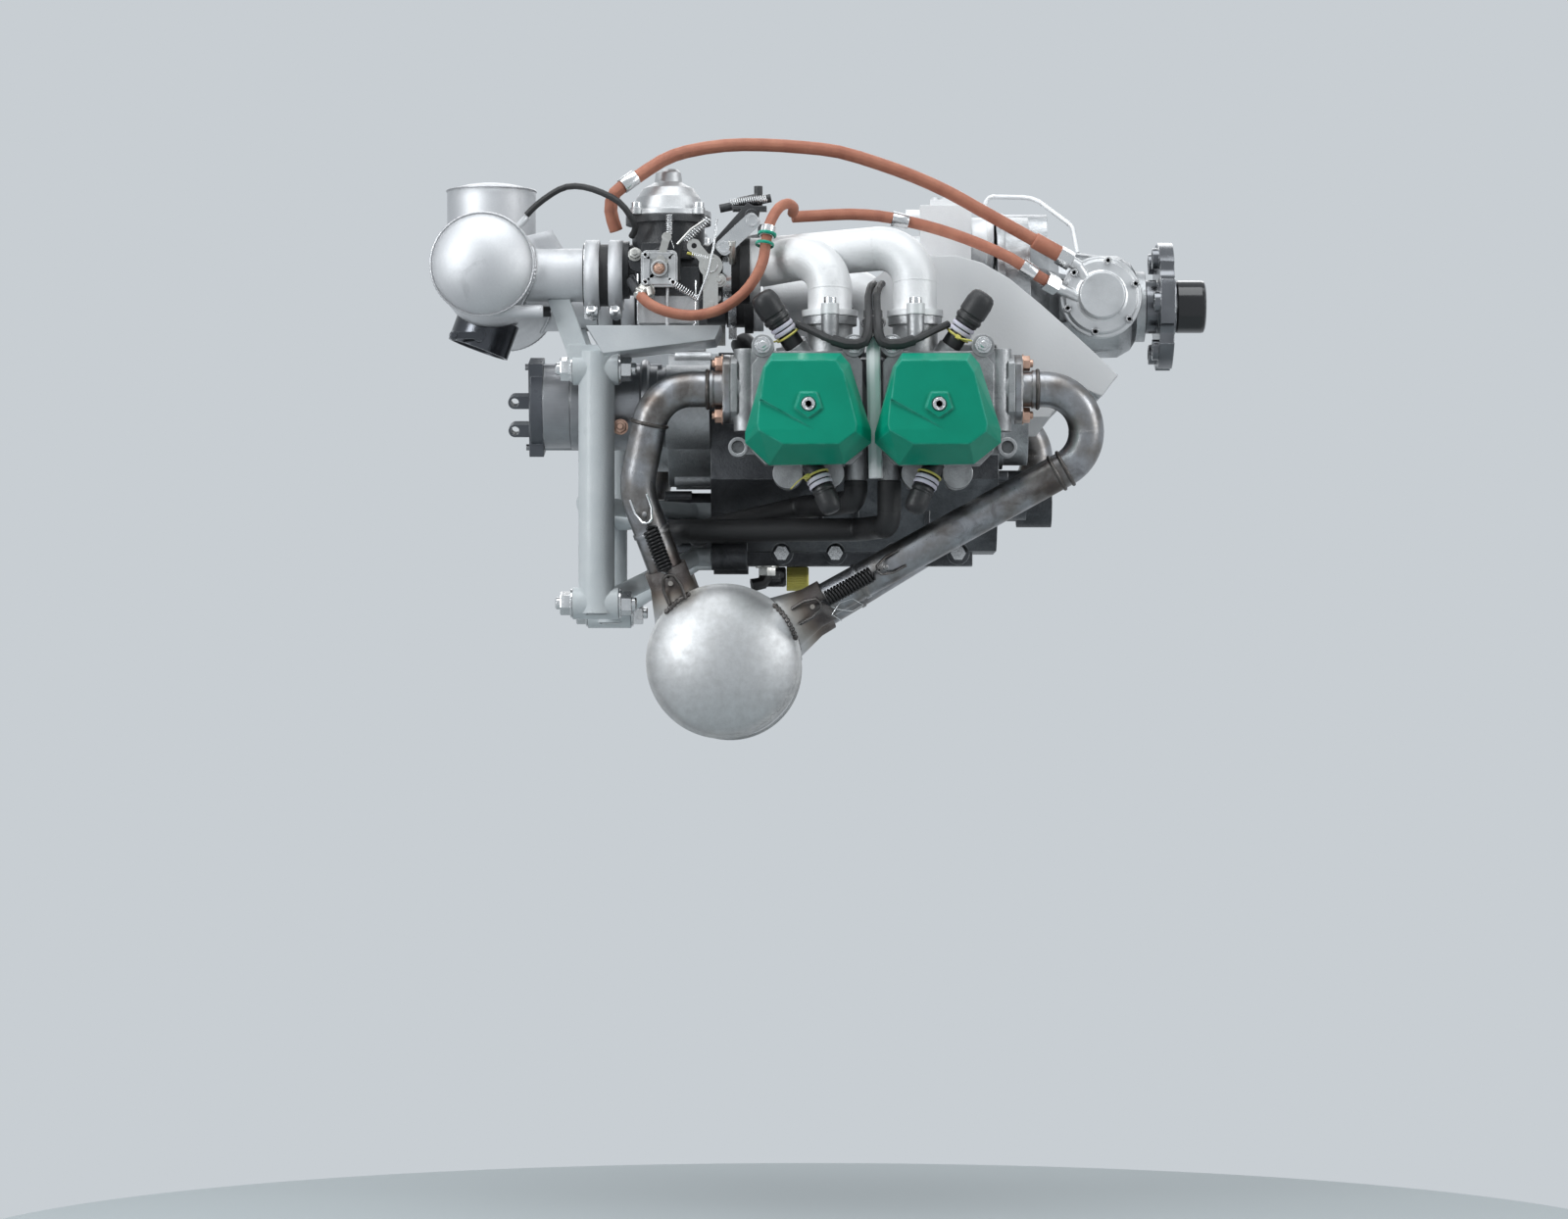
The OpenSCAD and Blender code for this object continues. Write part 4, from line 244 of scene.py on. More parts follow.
# %% Stain group
stains, s_in, s_out = new_group("handling_stains",
                                [("Vector", VECTOR, None), ("Scale", FLOAT, 14.0), ("Cover", FLOAT, 0.4)],
                                [("Mask", FLOAT)])
warp = node(stains, "ShaderNodeTexNoise", {"Vector": s_in["Vector"], "Scale": s_in["Scale"], "Detail": 2.0})
pushed = node(stains, "ShaderNodeVectorMath",
              {0: warp.outputs["Color"], 1: (0.12, 0.12, 0.12), 2: s_in["Vector"]},
              operation="MULTIPLY_ADD").outputs[0]
patch = node(stains, "ShaderNodeTexNoise",
             {"Vector": pushed, "Scale": s_in["Scale"], "Detail": 5.0, "Roughness": 0.65})
edge = math_node(stains, "SUBTRACT", 0.72, times(stains, s_in["Cover"], 0.45))
link_in(stains, ranged(stains, patch.outputs["Fac"], edge, math_node(stains, "ADD", edge, 0.16)), s_out["Mask"])
print(stains.name)


# %% [markdown]
# ### Edge wear and painted edge highlight
# Edges are rubbed bright first, and on the green paint the same edge mask paints a lighter highlight along the
# facets. The Bevel node gives the normal that a rounded edge would have: where it differs from the true normal,
# there is an edge.

# %% Edge group
edges, e_in, e_out = new_group("edge_wear_and_highlight",
                               [("Vector", VECTOR, None), ("Radius", FLOAT, 0.0015), ("Amount", FLOAT, 1.0)],
                               [("Mask", FLOAT), ("Normal", VECTOR)])
rounded = node(edges, "ShaderNodeBevel", {"Radius": e_in["Radius"]}, samples=4)
true_normal = node(edges, "ShaderNodeNewGeometry").outputs["Normal"]
alike = node(edges, "ShaderNodeVectorMath", {0: rounded.outputs[0], 1: true_normal},
             operation="DOT_PRODUCT").outputs["Value"]
# edge mask: rubbed edges on metal, a painted highlight on the green paint
worn_and_highlight_edge = ranged(edges, alike, 0.985, 0.82)
patchy = node(edges, "ShaderNodeTexNoise", {"Vector": e_in["Vector"], "Scale": 90.0, "Detail": 4.0})
broken = ranged(edges, patchy.outputs["Fac"], 0.35, 0.6)
link_in(edges, times(edges, times(edges, worn_and_highlight_edge, broken), e_in["Amount"], clamp=True), e_out["Mask"])
link_in(edges, rounded.outputs[0], e_out["Normal"])
print(edges.name)


# %% [markdown]
# ### Heat tint
# Stainless steel that gets hot turns straw, then brown, then violet and blue. The colour
# only depends on how hot the place became, so one ramp from a heat value does it all.

# %% Heat group
heat, h_in, h_out = new_group("heat_tint", [("Heat", FLOAT, 0.0)], [("Color", "NodeSocketColor")])
ramp = node(heat, "ShaderNodeValToRGB", {"Fac": h_in["Heat"]})
tints = [(0.0, (0.6, 0.605, 0.61, 1)), (0.35, (0.40, 0.375, 0.345, 1)), (0.6, (0.19, 0.155, 0.13, 1)),
         (0.8, (0.095, 0.078, 0.075, 1)), (1.0, (0.045, 0.042, 0.046, 1))]
ramp.color_ramp.elements[0].position, ramp.color_ramp.elements[0].color = tints[0]
ramp.color_ramp.elements[1].position, ramp.color_ramp.elements[1].color = tints[-1]
for place, tint in tints[1:-1]:
    ramp.color_ramp.elements.new(place).color = tint
link_in(heat, ramp.outputs["Color"], h_out["Color"])
print(heat.name, len(tints), "tints")


# %% [markdown]
# ## Metals
# Every bare metal here is one recipe with other numbers: a colour that clouds a little
# darker, grain or lines in the bump, stains that dull it and edges that shine. A metal that
# mirrors sharply looks like chrome, so the roughness stays high and uneven.

# %% The metal recipe
def start_material(name):
    m = bpy.data.materials.new(name)
    m.use_nodes = True
    tree = m.node_tree
    return m, tree, tree.nodes["Principled BSDF"], tree.nodes.new("ShaderNodeTexCoord").outputs["Object"]


def use(tree, group, inputs):
    """Places a shared group in a material and gives back its outputs."""
    return node(tree, "ShaderNodeGroup", inputs, node_tree=group).outputs


def blend_colours(tree, mask, a, b, how="MIX"):
    # inputs 6 and 7 and output 2 are the colour sockets of this node
    return node(tree, "ShaderNodeMix", {0: mask, 6: a, 7: b}, data_type="RGBA", blend_type=how).outputs[2]


def rgba(c):
    return (c[0], c[1], c[2], 1.0)


def bumped(tree, shader, height, strength, distance, normal):
    b = node(tree, "ShaderNodeBump",
             {"Strength": strength, "Distance": distance, "Height": height, "Normal": normal})
    tree.links.new(b.outputs["Normal"], shader.inputs["Normal"])


M = {}  # every finish by its short name
GRAIN_DEPTH = 0.0004  # metres


def metal(key, name, colour, dark, rough=(0.3, 0.5), scale=420.0, bump=0.25, stretch=None, wear=0.5, stain=0.35,
          radius=0.0012, metallic=1.0, shine=(0.78, 0.79, 0.8)):
    """A bare metal: cloudy colour, cast grain or brushed lines, dull stains and bright edges."""
    m, tree, shader, xyz = start_material(name)
    g = use(tree, grain, {"Vector": xyz, "Scale": scale})
    height = g["Fine"]
    if stretch:
        height = use(tree, brushed, {"Vector": xyz, "Stretch": stretch})["Lines"]
    s = use(tree, stains, {"Vector": xyz, "Scale": 17.0, "Cover": stain})["Mask"]
    e = use(tree, edges, {"Vector": xyz, "Radius": radius, "Amount": wear})
    c = blend_colours(tree, times(tree, g["Cloud"], 0.6), rgba(colour), rgba(dark))
    c = blend_colours(tree, times(tree, height, 0.22), c, rgba(dark))
    c = blend_colours(tree, times(tree, s, 0.5), c, rgba([v * 0.6 for v in dark]))
    c = blend_colours(tree, e["Mask"], c, rgba(shine))
    r = ranged(tree, height, 0.0, 1.0, *rough)
    r = math_node(tree, "ADD", r, times(tree, s, 0.12))
    fill(tree, shader, {"Base Color": c, "Roughness": r, "Metallic": metallic})
    bumped(tree, shader, height, bump, GRAIN_DEPTH, e["Normal"])
    M[key] = m


metal("case", "cast_case", (0.15, 0.155, 0.165), (0.065, 0.068, 0.073), (0.34, 0.55), 520, 0.5, stain=0.6,
      metallic=0.85)
metal("barrel", "barrel_iron", (0.22, 0.225, 0.23), (0.1, 0.1, 0.105), (0.35, 0.5), 600, 0.3, stain=0.5)
metal("head", "cast_head", (0.48, 0.485, 0.49), (0.25, 0.255, 0.26), (0.34, 0.5), 520, 0.4, stain=0.5,
      metallic=0.9)
metal("piston", "piston_alloy", (0.7, 0.7, 0.7), (0.45, 0.45, 0.45), (0.25, 0.4), stretch=(60, 2600, 60))
metal("forged", "forged_steel", (0.5, 0.5, 0.5), (0.26, 0.26, 0.27), (0.25, 0.4), stretch=(2600, 60, 60))
metal("flange", "flange_steel", (0.24, 0.245, 0.26), (0.1, 0.103, 0.11), (0.14, 0.28), stretch=(60, 1600, 1600),
      bump=0.1, wear=1.0)
metal("gearbox", "gearbox_casting", (0.56, 0.57, 0.58), (0.3, 0.31, 0.32), (0.34, 0.52), 520, 0.5, stain=0.45,
      metallic=0.9)
metal("pump", "pump_alloy", (0.74, 0.745, 0.75), (0.5, 0.505, 0.51), (0.3, 0.42), 700, 0.18, stain=0.25,
      metallic=0.9)
metal("governor", "governor_alloy", (0.92, 0.93, 0.94), (0.78, 0.79, 0.8), (0.42, 0.55), 560, 0.3, stain=0.12,
      metallic=0.25)
metal("starter", "starter_steel", (0.36, 0.365, 0.38), (0.19, 0.193, 0.2), (0.27, 0.4),
      stretch=(40, 1500, 1500), stain=0.4)
metal("airbox", "brushed_aluminium", (0.62, 0.625, 0.635), (0.5, 0.505, 0.52), (0.5, 0.62),
      stretch=(520, 26, 520), bump=0.06, stain=0.2, radius=0.009)
metal("ring", "dark_polished_steel", (0.13, 0.135, 0.15), (0.05, 0.053, 0.058), (0.14, 0.26),
      stretch=(900, 900, 50), bump=0.1)
metal("carb_cap", "carburettor_alloy", (0.6, 0.605, 0.61), (0.38, 0.385, 0.39), (0.4, 0.56), 620, 0.3,
      stain=0.45, metallic=0.95)
metal("zinc", "zinc_plate", (0.68, 0.675, 0.65), (0.42, 0.41, 0.38), (0.25, 0.4), 300, 0.12, stain=0.5,
      radius=0.0004)
metal("manifold", "manifold_casting", (0.88, 0.885, 0.89), (0.78, 0.79, 0.8), (0.42, 0.55), 480, 0.3,
      stain=0.12, metallic=0.2, wear=0.3)
metal("bright", "bright_steel", (0.78, 0.785, 0.79), (0.52, 0.525, 0.53), (0.16, 0.3), 500, 0.1, stain=0.25,
      radius=0.0003)
metal("spring", "spring_steel", (0.05, 0.049, 0.05), (0.02, 0.02, 0.02), (0.3, 0.45), 500, 0.2, stain=0.4,
      radius=0.0003)
metal("brass", "olive_brass", (0.66, 0.6, 0.17), (0.42, 0.37, 0.1), (0.3, 0.45), 420, 0.2, stain=0.4,
      shine=(0.8, 0.72, 0.35), radius=0.0003)
metal("copper", "copper_nut", (0.7, 0.46, 0.36), (0.42, 0.26, 0.19), (0.28, 0.42), 420, 0.2, stain=0.4,
      shine=(0.85, 0.6, 0.42), radius=0.0003)
metal("dark_weld", "weld_bead", (0.13, 0.115, 0.105), (0.05, 0.045, 0.043), (0.3, 0.5), 260, 0.5, stain=0.6)
metal("clean_weld", "clean_weld", (0.6, 0.6, 0.61), (0.36, 0.36, 0.37), (0.28, 0.45), 300, 0.4, stain=0.3)
print(len(M), "metals")


# %% [markdown]
# ## Heated stainless steel
# The exhaust starts as brushed stainless tube. It is hottest at the ports, and welding has
# left brown bands at the joints and the sockets. The heat value is a distance from those
# places, with noise in it so that no border looks drawn.

# %% Exhaust finish
# hot places on the right, and how far in mm the tint reaches
PIPE_HEAT = [((106, PORT_Y, PORT_Z), 20), ((450, PORT_Y, PORT_Z), 20), ((98, 185, -92), 44),
             ((212, 185, -132), 46), ((80, PORT_Y, 70), 24), ((440, 196, 2), 26), ((70, 190, 30), 22)]
DRUM_HEAT = [((90, 172, -84), 44), ((236, 172, -112), 48), ((MUFFLER_X, 10, MUFFLER_Z), 40)]


def hot_metal(key, name, places, lines, rough=(0.24, 0.42), cloudy=0.26, stained=0.25, radius=0.003,
              tone=(1, 1, 1), heated=0.62):
    """Brushed stainless steel with heat tint round the given places, the same on both sides."""
    m, tree, shader, xyz = start_material(name)
    folded = node(tree, "ShaderNodeVectorMath", {0: xyz}, operation="ABSOLUTE").outputs[0]
    parts = node(tree, "ShaderNodeSeparateXYZ", {0: xyz})
    halves = node(tree, "ShaderNodeSeparateXYZ", {0: folded})
    both = node(tree, "ShaderNodeCombineXYZ",
                {0: parts.outputs[0], 1: halves.outputs[1], 2: parts.outputs[2]}).outputs[0]
    cloud = use(tree, grain, {"Vector": xyz, "Scale": 700.0})
    value = 0.0
    for place, reach in places:
        d = node(tree, "ShaderNodeVectorMath", {0: both, 1: [v / 1000 for v in place]},
                 operation="DISTANCE").outputs["Value"]
        value = math_node(tree, "MAXIMUM", value, ranged(tree, d, reach / 1000, reach / 3000))
    uneven = math_node(tree, "MULTIPLY_ADD", cloud["Cloud"], cloudy, -0.1)
    value = math_node(tree, "ADD", times(tree, value, heated), uneven, clamp=True)
    c = use(tree, heat, {"Heat": value})["Color"]
    hair = use(tree, brushed, {"Vector": xyz, "Stretch": lines})["Lines"]
    c = blend_colours(tree, times(tree, hair, 0.3), c, (0.2, 0.19, 0.18, 1))
    s = use(tree, stains, {"Vector": xyz, "Scale": 22.0, "Cover": 0.5})["Mask"]
    c = blend_colours(tree, times(tree, s, stained), c, (0.12, 0.1, 0.09, 1))
    c = blend_colours(tree, 1.0, c, rgba(tone), "MULTIPLY")
    e = use(tree, edges, {"Vector": xyz, "Radius": radius, "Amount": 0.4})
    c = blend_colours(tree, e["Mask"], c, (0.75, 0.74, 0.72, 1))
    r = ranged(tree, hair, 0.0, 1.0, *rough)
    r = math_node(tree, "ADD", r, times(tree, value, 0.12))
    fill(tree, shader, {"Base Color": c, "Roughness": r, "Metallic": 1.0})
    bumped(tree, shader, hair, 0.16, 0.0003, e["Normal"])
    M[key] = m


hot_metal("exhaust", "heated_stainless", PIPE_HEAT, (260, 260, 260), (0.24, 0.4), 0.5, 0.5,
          tone=(0.6, 0.61, 0.64))
hot_metal("muffler", "muffler_stainless", DRUM_HEAT, (110, 30, 110), (0.46, 0.58), 0.1, 0.1, 0.013, heated=0.95)
print("exhaust and muffler finishes")


# %% [markdown]
# ## Paint, plastic and rubber
# None of these is a metal, so the light gets in and scatters: the colour shows everywhere
# and only the gloss on top is white. Paint on a casting keeps a faint orange peel.

# %% The coating recipe
def coating(key, name, colour, dark, rough=(0.3, 0.42), scale=260.0, bump=0.15, wear=0.0, stain=0.3,
            radius=0.0012, coat=0.0, shine=(0.6, 0.62, 0.64), specular=0.5):
    """Paint, plastic or rubber: cloudy colour, peel or grain in the bump, stains, and edges in the shine
    colour: rubbed edges, on the green paint a painted highlight.
    """
    m, tree, shader, xyz = start_material(name)
    g = use(tree, grain, {"Vector": xyz, "Scale": scale})
    s = use(tree, stains, {"Vector": xyz, "Scale": 17.0, "Cover": stain})["Mask"]
    e = use(tree, edges, {"Vector": xyz, "Radius": radius, "Amount": wear})
    c = blend_colours(tree, times(tree, g["Cloud"], 0.7), rgba(colour), rgba(dark))
    c = blend_colours(tree, times(tree, s, 0.4), c, rgba([v * 0.7 for v in dark]))
    # edges take the shine colour: rubbed edges, and on the green paint a painted highlight
    c = blend_colours(tree, e["Mask"], c, rgba(shine))
    r = ranged(tree, g["Cloud"], 0.0, 1.0, *rough)
    r = math_node(tree, "ADD", r, times(tree, s, 0.1))
    fill(tree, shader, {"Base Color": c, "Roughness": r, "Coat Weight": coat, "Coat Roughness": 0.12,
                        "Specular IOR Level": specular})
    bumped(tree, shader, g["Fine"], bump, GRAIN_DEPTH, e["Normal"])
    M[key] = m


# green: the edge amount 1.0 and the lighter green shine paint a highlight along the cover edges
coating("green", "green_paint", (0.002, 0.37, 0.235), (0.001, 0.29, 0.18), (0.3, 0.42), 340, 0.1, 1.0, 0.1,
        0.0026, 0.06, shine=(0.1, 0.66, 0.5), specular=0.3)
coating("gloss_black", "gloss_black", (0.008, 0.008, 0.010), (0.014, 0.014, 0.016), (0.1, 0.2), 300, 0.05, 0.1,
        0.2, 0.0012, 0.3)
coating("bracket", "dark_bracket", (0.13, 0.14, 0.16), (0.07, 0.076, 0.088), (0.26, 0.38), 420, 0.25, 1.0, 0.3)
coating("frame", "frame_powder_coat", (0.76, 0.80, 0.815), (0.66, 0.71, 0.73), (0.34, 0.46), 520, 0.3, 0.25,
        0.2, 0.0015, 0.1)
coating("tray", "tray_paint", (0.74, 0.77, 0.79), (0.6, 0.63, 0.66), (0.3, 0.42), 420, 0.2, 0.3, 0.3)
coating("rubber", "black_rubber", (0.013, 0.013, 0.014), (0.026, 0.026, 0.027), (0.42, 0.6), 620, 0.35, 0.15,
        0.35, shine=(0.1, 0.1, 0.1))
coating("plug", "plug_rubber", (0.012, 0.012, 0.013), (0.028, 0.028, 0.03), (0.36, 0.5), 420, 0.3, 0.2, 0.3,
        shine=(0.12, 0.12, 0.12))
coating("carb", "carburettor_black", (0.03, 0.032, 0.036), (0.055, 0.057, 0.06), (0.3, 0.5), 520, 0.5, 0.7, 0.4,
        shine=(0.35, 0.35, 0.36))
coating("shroud", "shroud_white", (0.95, 0.96, 0.97), (0.9, 0.915, 0.93), (0.34, 0.46), 300, 0.1, 0.1, 0.15,
        0.002)
coating("tie", "yellow_tie", (0.72, 0.66, 0.16), (0.6, 0.53, 0.1), (0.35, 0.45), 300, 0.1)
coating("band", "pale_band", (0.72, 0.7, 0.78), (0.55, 0.52, 0.66), (0.4, 0.5), 300, 0.1)
print(len(M), "finishes so far")


# %% [markdown]
# ## Fire sleeve
# Orange hoses on engines are a fuel hose inside a braided glass sleeve that is soaked in
# silicone. Close up it is a matt, slightly ribbed skin, and its colour fades to pink-brown
# where it is handled.

# %% Hose finish
sleeve, tree, shader, xyz = start_material("fire_sleeve")
g = use(tree, grain, {"Vector": xyz, "Scale": 900.0})
s = use(tree, stains, {"Vector": xyz, "Scale": 26.0, "Cover": 0.5})["Mask"]
weave = node(tree, "ShaderNodeTexVoronoi", {"Vector": xyz, "Scale": 620.0}).outputs["Distance"]
c = blend_colours(tree, g["Cloud"], (0.54, 0.225, 0.145, 1), (0.44, 0.165, 0.105, 1))
c = blend_colours(tree, times(tree, s, 0.45), c, (0.3, 0.11, 0.075, 1))
fill(tree, shader, {"Base Color": c, "Roughness": ranged(tree, weave, 0.0, 0.8, 0.5, 0.68)})
round_off = use(tree, edges, {"Vector": xyz, "Radius": 0.004, "Amount": 0.0})
bumped(tree, shader, weave, 0.3, GRAIN_DEPTH, round_off["Normal"])
M["hose"] = sleeve
print("fire sleeve ready")


# %% [markdown]
# ## Finishes on the CAD solids
# The solids are right in shape, so they only get their finish. The list below says which
# solid wears what.

# %% Dress the solids
WEARS = {
    "case": "crankcase_right crankcase_left oil_pump water_pump",
    "barrel": "cylinder_1 cylinder_2 cylinder_3 cylinder_4",
    "head": "cylinder_head_1 cylinder_head_2 cylinder_head_3 cylinder_head_4",
    "green": "valve_cover_1 valve_cover_2 valve_cover_3 valve_cover_4", "piston": "pistons",
    "forged": "crankshaft camshaft propeller_gear pushrod_tubes flywheel", "flange": "propeller_shaft",
    "gloss_black": "hub_cap", "gearbox": "gearbox_housing ignition_housing", "pump": "fuel_pump",
    "governor": "governor governor_lever", "starter": "starter_motor", "bracket": "starter_bracket",
    "frame": "mount_frame",
    "tray": "drip_trays", "airbox": "airbox", "ring": "intake_ring airbox_flap",
    "rubber": "airbox_sleeves carburettor_sockets coolant_hoses vent_hoses ignition_leads",
    "plug": "spark_plugs",
    "carb": "carburettor_right carburettor_left", "carb_cap": "carburettor_caps float_bowls",
    "zinc": "throttle_lever_right throttle_lever_left choke_lever_right choke_lever_left",
    "manifold": "intake_manifolds",
    "exhaust": "exhaust_pipes_right exhaust_pipes_left", "muffler": "muffler", "spring": "exhaust_springs",
    "shroud": "air_shroud", "hose": "fuel_hoses", "bright": "hose_clamps case_bolts", "brass": "drain_cap"}
dressed = set()
for finish, names in WEARS.items():
    for name in names.split():
        dressed.add(name)
        for slot in NODES[name].material_slots:
            slot.material = M[finish]
print(len(dressed), "solids dressed, left plain:", sorted(set(NODES) - dressed))


# %% [markdown]
# ## How the small pieces are made
# A piece starts from a primitive, is shaped in edit mode and ends at its place with its own
# mesh. Bolts, nuts and weld rings repeat all over an engine, so each is modelled once at
# the origin, standing on Z, and copied to its spots.

# %% Piece helpers
def fresh():
    if bpy.context.object and bpy.context.object.mode != "OBJECT":
        bpy.ops.object.mode_set(mode="OBJECT")
    bpy.ops.object.select_all(action="DESELECT")


def shaping(name):
    """Names the primitive that was just added and opens it with nothing selected."""
    o = bpy.context.object
    o.name = o.data.name = name
    bpy.ops.object.transform_apply(location=True, rotation=True, scale=True)
    bpy.ops.object.mode_set(mode="EDIT")
    bpy.ops.mesh.select_mode(type="FACE")
    bpy.ops.mesh.select_all(action="DESELECT")
    return o


def pick(o, test, kind="faces"):
    """Selects the faces or edges that pass a test on their middle (mm) and normal or direction."""
    bpy.ops.mesh.select_mode(type="FACE" if kind == "faces" else "EDGE")
    bm = bmesh.from_edit_mesh(o.data)
    for part in (*bm.faces, *bm.edges, *bm.verts):
        part.select = False
    for part in getattr(bm, kind):
        middle = part.calc_center_median() if kind == "faces" else (part.verts[0].co + part.verts[1].co) / 2
        normal = part.normal if kind == "faces" else (part.verts[1].co - part.verts[0].co).normalized()
        if test(middle * 1000, normal):
            part.select_set(True)
    bmesh.update_edit_mesh(o.data)


def wear(o, finish):
    o.data.materials.clear()
    o.data.materials.append(M[finish])


def finished(o, finish, angle=35):
    """Leaves edit mode, smooths the shading and puts the finish on."""
    bpy.ops.object.mode_set(mode="OBJECT")
    fresh()
    o.select_set(True)
    bpy.context.view_layer.objects.active = o
    bpy.ops.object.shade_smooth_by_angle(angle=math.radians(angle))
    wear(o, finish)


ALONG_X, ALONG_Y = (0, math.radians(90), 0), (math.radians(90), 0, 0)  # turns that lay Z along another axis


def cylinder(sides, radius, depth, place, **how):
    bpy.ops.mesh.primitive_cylinder_add(vertices=sides, radius=radius, depth=depth, location=place, **how)


def box(place, size):
    bpy.ops.mesh.primitive_cube_add(size=1, location=place, scale=size)


def extrude(x, y, z):
    bpy.ops.mesh.extrude_region_move(TRANSFORM_OT_translate={"value": (x, y, z)})


def bevel(width, segments):
    bpy.ops.mesh.bevel(offset=width, segments=segments, affect="EDGES")


def inset(width, **how):
    bpy.ops.mesh.inset(thickness=width, **how)


def select_whole():
    bpy.ops.mesh.select_all(action="SELECT")


def mount(o, body):
    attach(o, body)
    return o


def turned_to(direction, spin=0.0):
    """The turn that stands Z along a direction."""
    stood = Vector(direction).to_track_quat("Z", "Y").to_matrix().to_4x4()
    return stood @ Matrix.Rotation(math.radians(spin), 4, "Z")


def copies(master, name, spots, finish=None):
    """Copies a piece to its spots, [place in mm, direction, turn, size], each copy with its own mesh."""
    for k, (place, direction, *rest) in enumerate(spots):
        spin, size = (*rest, *(0.0, 1.0)[len(rest):])
        o = master.copy()
        o.data = master.data.copy()
        o.name = o.data.name = f"{name}_{k + 1}"
        bpy.context.scene.collection.objects.link(o)
        laid = turned_to(direction, spin) @ Matrix.Scale(size, 4)
        o.data.transform(Matrix.Translation(Vector(place) / 1000) @ laid)
        if finish:
            wear(o, finish)
        mount(o, "engine")
    print(name, len(spots))


MASTERS = []


def master(o, finish):
    """A pattern piece: it is finished here, copied to its spots and taken away at the end."""
    o["finish"] = finish
    finished(o, finish)
    MASTERS.append(o)
    return o


def both_sides(spots):
    """The same spots on the other side of the engine."""
    return spots + [[(p[0], -p[1], p[2]), (d[0], -d[1], d[2]), *rest] for p, d, *rest in spots]


print("piece helpers ready")


# %% [markdown]
# ## Fasteners
# A socket screw is a cylinder with a rounded rim and a six-sided hole. The round rim of the
# top is bridged to a hexagon, and the hexagon is extruded down. A nut is a six-sided
# cylinder with its corners turned down, a threaded end standing out and a washer under it.

# %% Socket screw
fresh()
cylinder(24, 0.0061, 0.006, (0, 0, 0.003))
screw = shaping("socket_screw_master")
pick(screw, lambda c, n: n.z > 0.9)
bevel(0.0006, 2)
pick(screw, lambda c, n: n.z > 0.95 and c.z > 5.9)
inset(0.0016)
bpy.ops.mesh.delete(type="FACE")
bpy.ops.mesh.primitive_circle_add(vertices=6, radius=0.0033, fill_type="NOTHING", location=(0, 0, 0.006))
pick(screw, lambda c, n: abs(c.z - 6) < 0.05 and c.xy.length < 4.5, "edges")
bpy.ops.mesh.bridge_edge_loops()
pick(screw, lambda c, n: abs(c.z - 6) < 0.05 and c.xy.length < 3.2, "edges")
bpy.ops.mesh.extrude_edges_move(TRANSFORM_OT_translate={"value": (0, 0, -0.0035)})
bpy.ops.mesh.edge_face_add()
select_whole()
bpy.ops.mesh.normals_make_consistent(inside=False)
screw = master(screw, "bright")
print(len(screw.data.polygons), "faces in a socket screw")

# %% Nut on its stud
fresh()
cylinder(6, 0.0078, 0.0068, (0, 0, 0.0046))
nut = shaping("nut_master")
pick(nut, lambda c, n: n.z > 0.9)
bevel(0.0009, 2)
cylinder(20, 0.004, 0.011, (0, 0, 0.0056))
pick(nut, lambda c, n: n.z > 0.95 and c.z > 10.5)
bevel(0.0008, 1)
cylinder(28, 0.0094, 0.0014, (0, 0, 0.0006))
pick(nut, lambda c, n: n.z > 0.95 and 1.2 < c.z < 1.4)
bevel(0.0003, 1)
nut = master(nut, "bright")
print(len(nut.data.polygons), "faces in a nut")

# %% Weld ring
fresh()
bpy.ops.mesh.primitive_torus_add(major_radius=0.02, minor_radius=0.0018, major_segments=96, minor_segments=10)
weld = shaping("weld_ring_master")
pick(weld, lambda c, n: int((math.degrees(math.atan2(c.y, c.x)) + 360) / 3.75) % 2 == 0)
bpy.ops.transform.shrink_fatten(value=0.0005)
weld = master(weld, "dark_weld")
print(len(weld.data.polygons), "faces in a weld ring")


# %% [markdown]
# ## Bolts of the valve covers, exhaust flanges and intake flanges
# One screw holds each valve cover, in a round pocket on a small pad. Each exhaust pipe is
# clamped by two plated nuts on studs, and each intake runner by two long screws. The list
# of cylinders gives their place along the engine and their side.

# %% Place the engine's fasteners
copies(screw, "cover_screw", [((x, s * 283.6, 67), (0, s, 0)) for x, s, e in CYLINDERS])
copies(nut, "exhaust_nut", [((x + e * 79.4, s * PORT_Y, PORT_Z + d), (e, 0, 0), 12, 0.92)
                            for x, s, e in CYLINDERS for d in (-24, 24)], finish="copper")
copies(screw, "intake_screw", [((x - e * 20, s * (PORT_Y + d), 164.2), (0, 0, 1), 0, 0.95)
                               for x, s, e in CYLINDERS for d in (-28, 28)])
copies(screw, "carburettor_cap_screw", [((CARB_X + 29 * a, s * CARB_Y + 29 * b, 258.1), (0, 0, 1), 0, 0.85)
                                        for s in (-1, 1) for a in (-1, 1) for b in (-1, 1)])


# %% [markdown]
# ## Weld beads
# Where two tubes meet, the welder leaves a row of small overlapping puddles. On the straight
# joints a ripple ring is enough. Where a tube enters the side of a drum, the joint is a
# saddle curve, worked out here from the two radii and followed by a beaded cord of metal.

# %% Weld rings
def ring_spots(radius, spots):
    return [(p, d, 0, radius / 20) for p, d in spots]  # the master ring has a radius of 20 mm


def unit(a, b):
    return (Vector(b) - Vector(a)).normalized()


def toward(a, b, far):
    return Vector(a) + unit(a, b) * far


PIPES = []  # corner points of each exhaust pipe, from the port to the cone
for x, s, e in CYLINDERS:
    x0 = x + e * 72.15
    port = (x0, s * PORT_Y, PORT_Z)
    if e < 0:
        PIPES.append([port, (min(80, x0 - 40), s * PORT_Y, PORT_Z), (60, s * 186, -5), (91, s * 168, -88)])
    else:
        PIPES.append([port, (x0 + 67, s * PORT_Y, PORT_Z), (x0 + 67, s * 195, 24.6), (228, s * 168, -113)])
rings = []
for port, bend, knee, cone in PIPES:
    rings += [(toward(cone, knee, 4.6), unit(cone, knee)), (toward(port, bend, 21.4), unit(port, bend))]
copies(weld, "pipe_weld", ring_spots(17.2, rings))

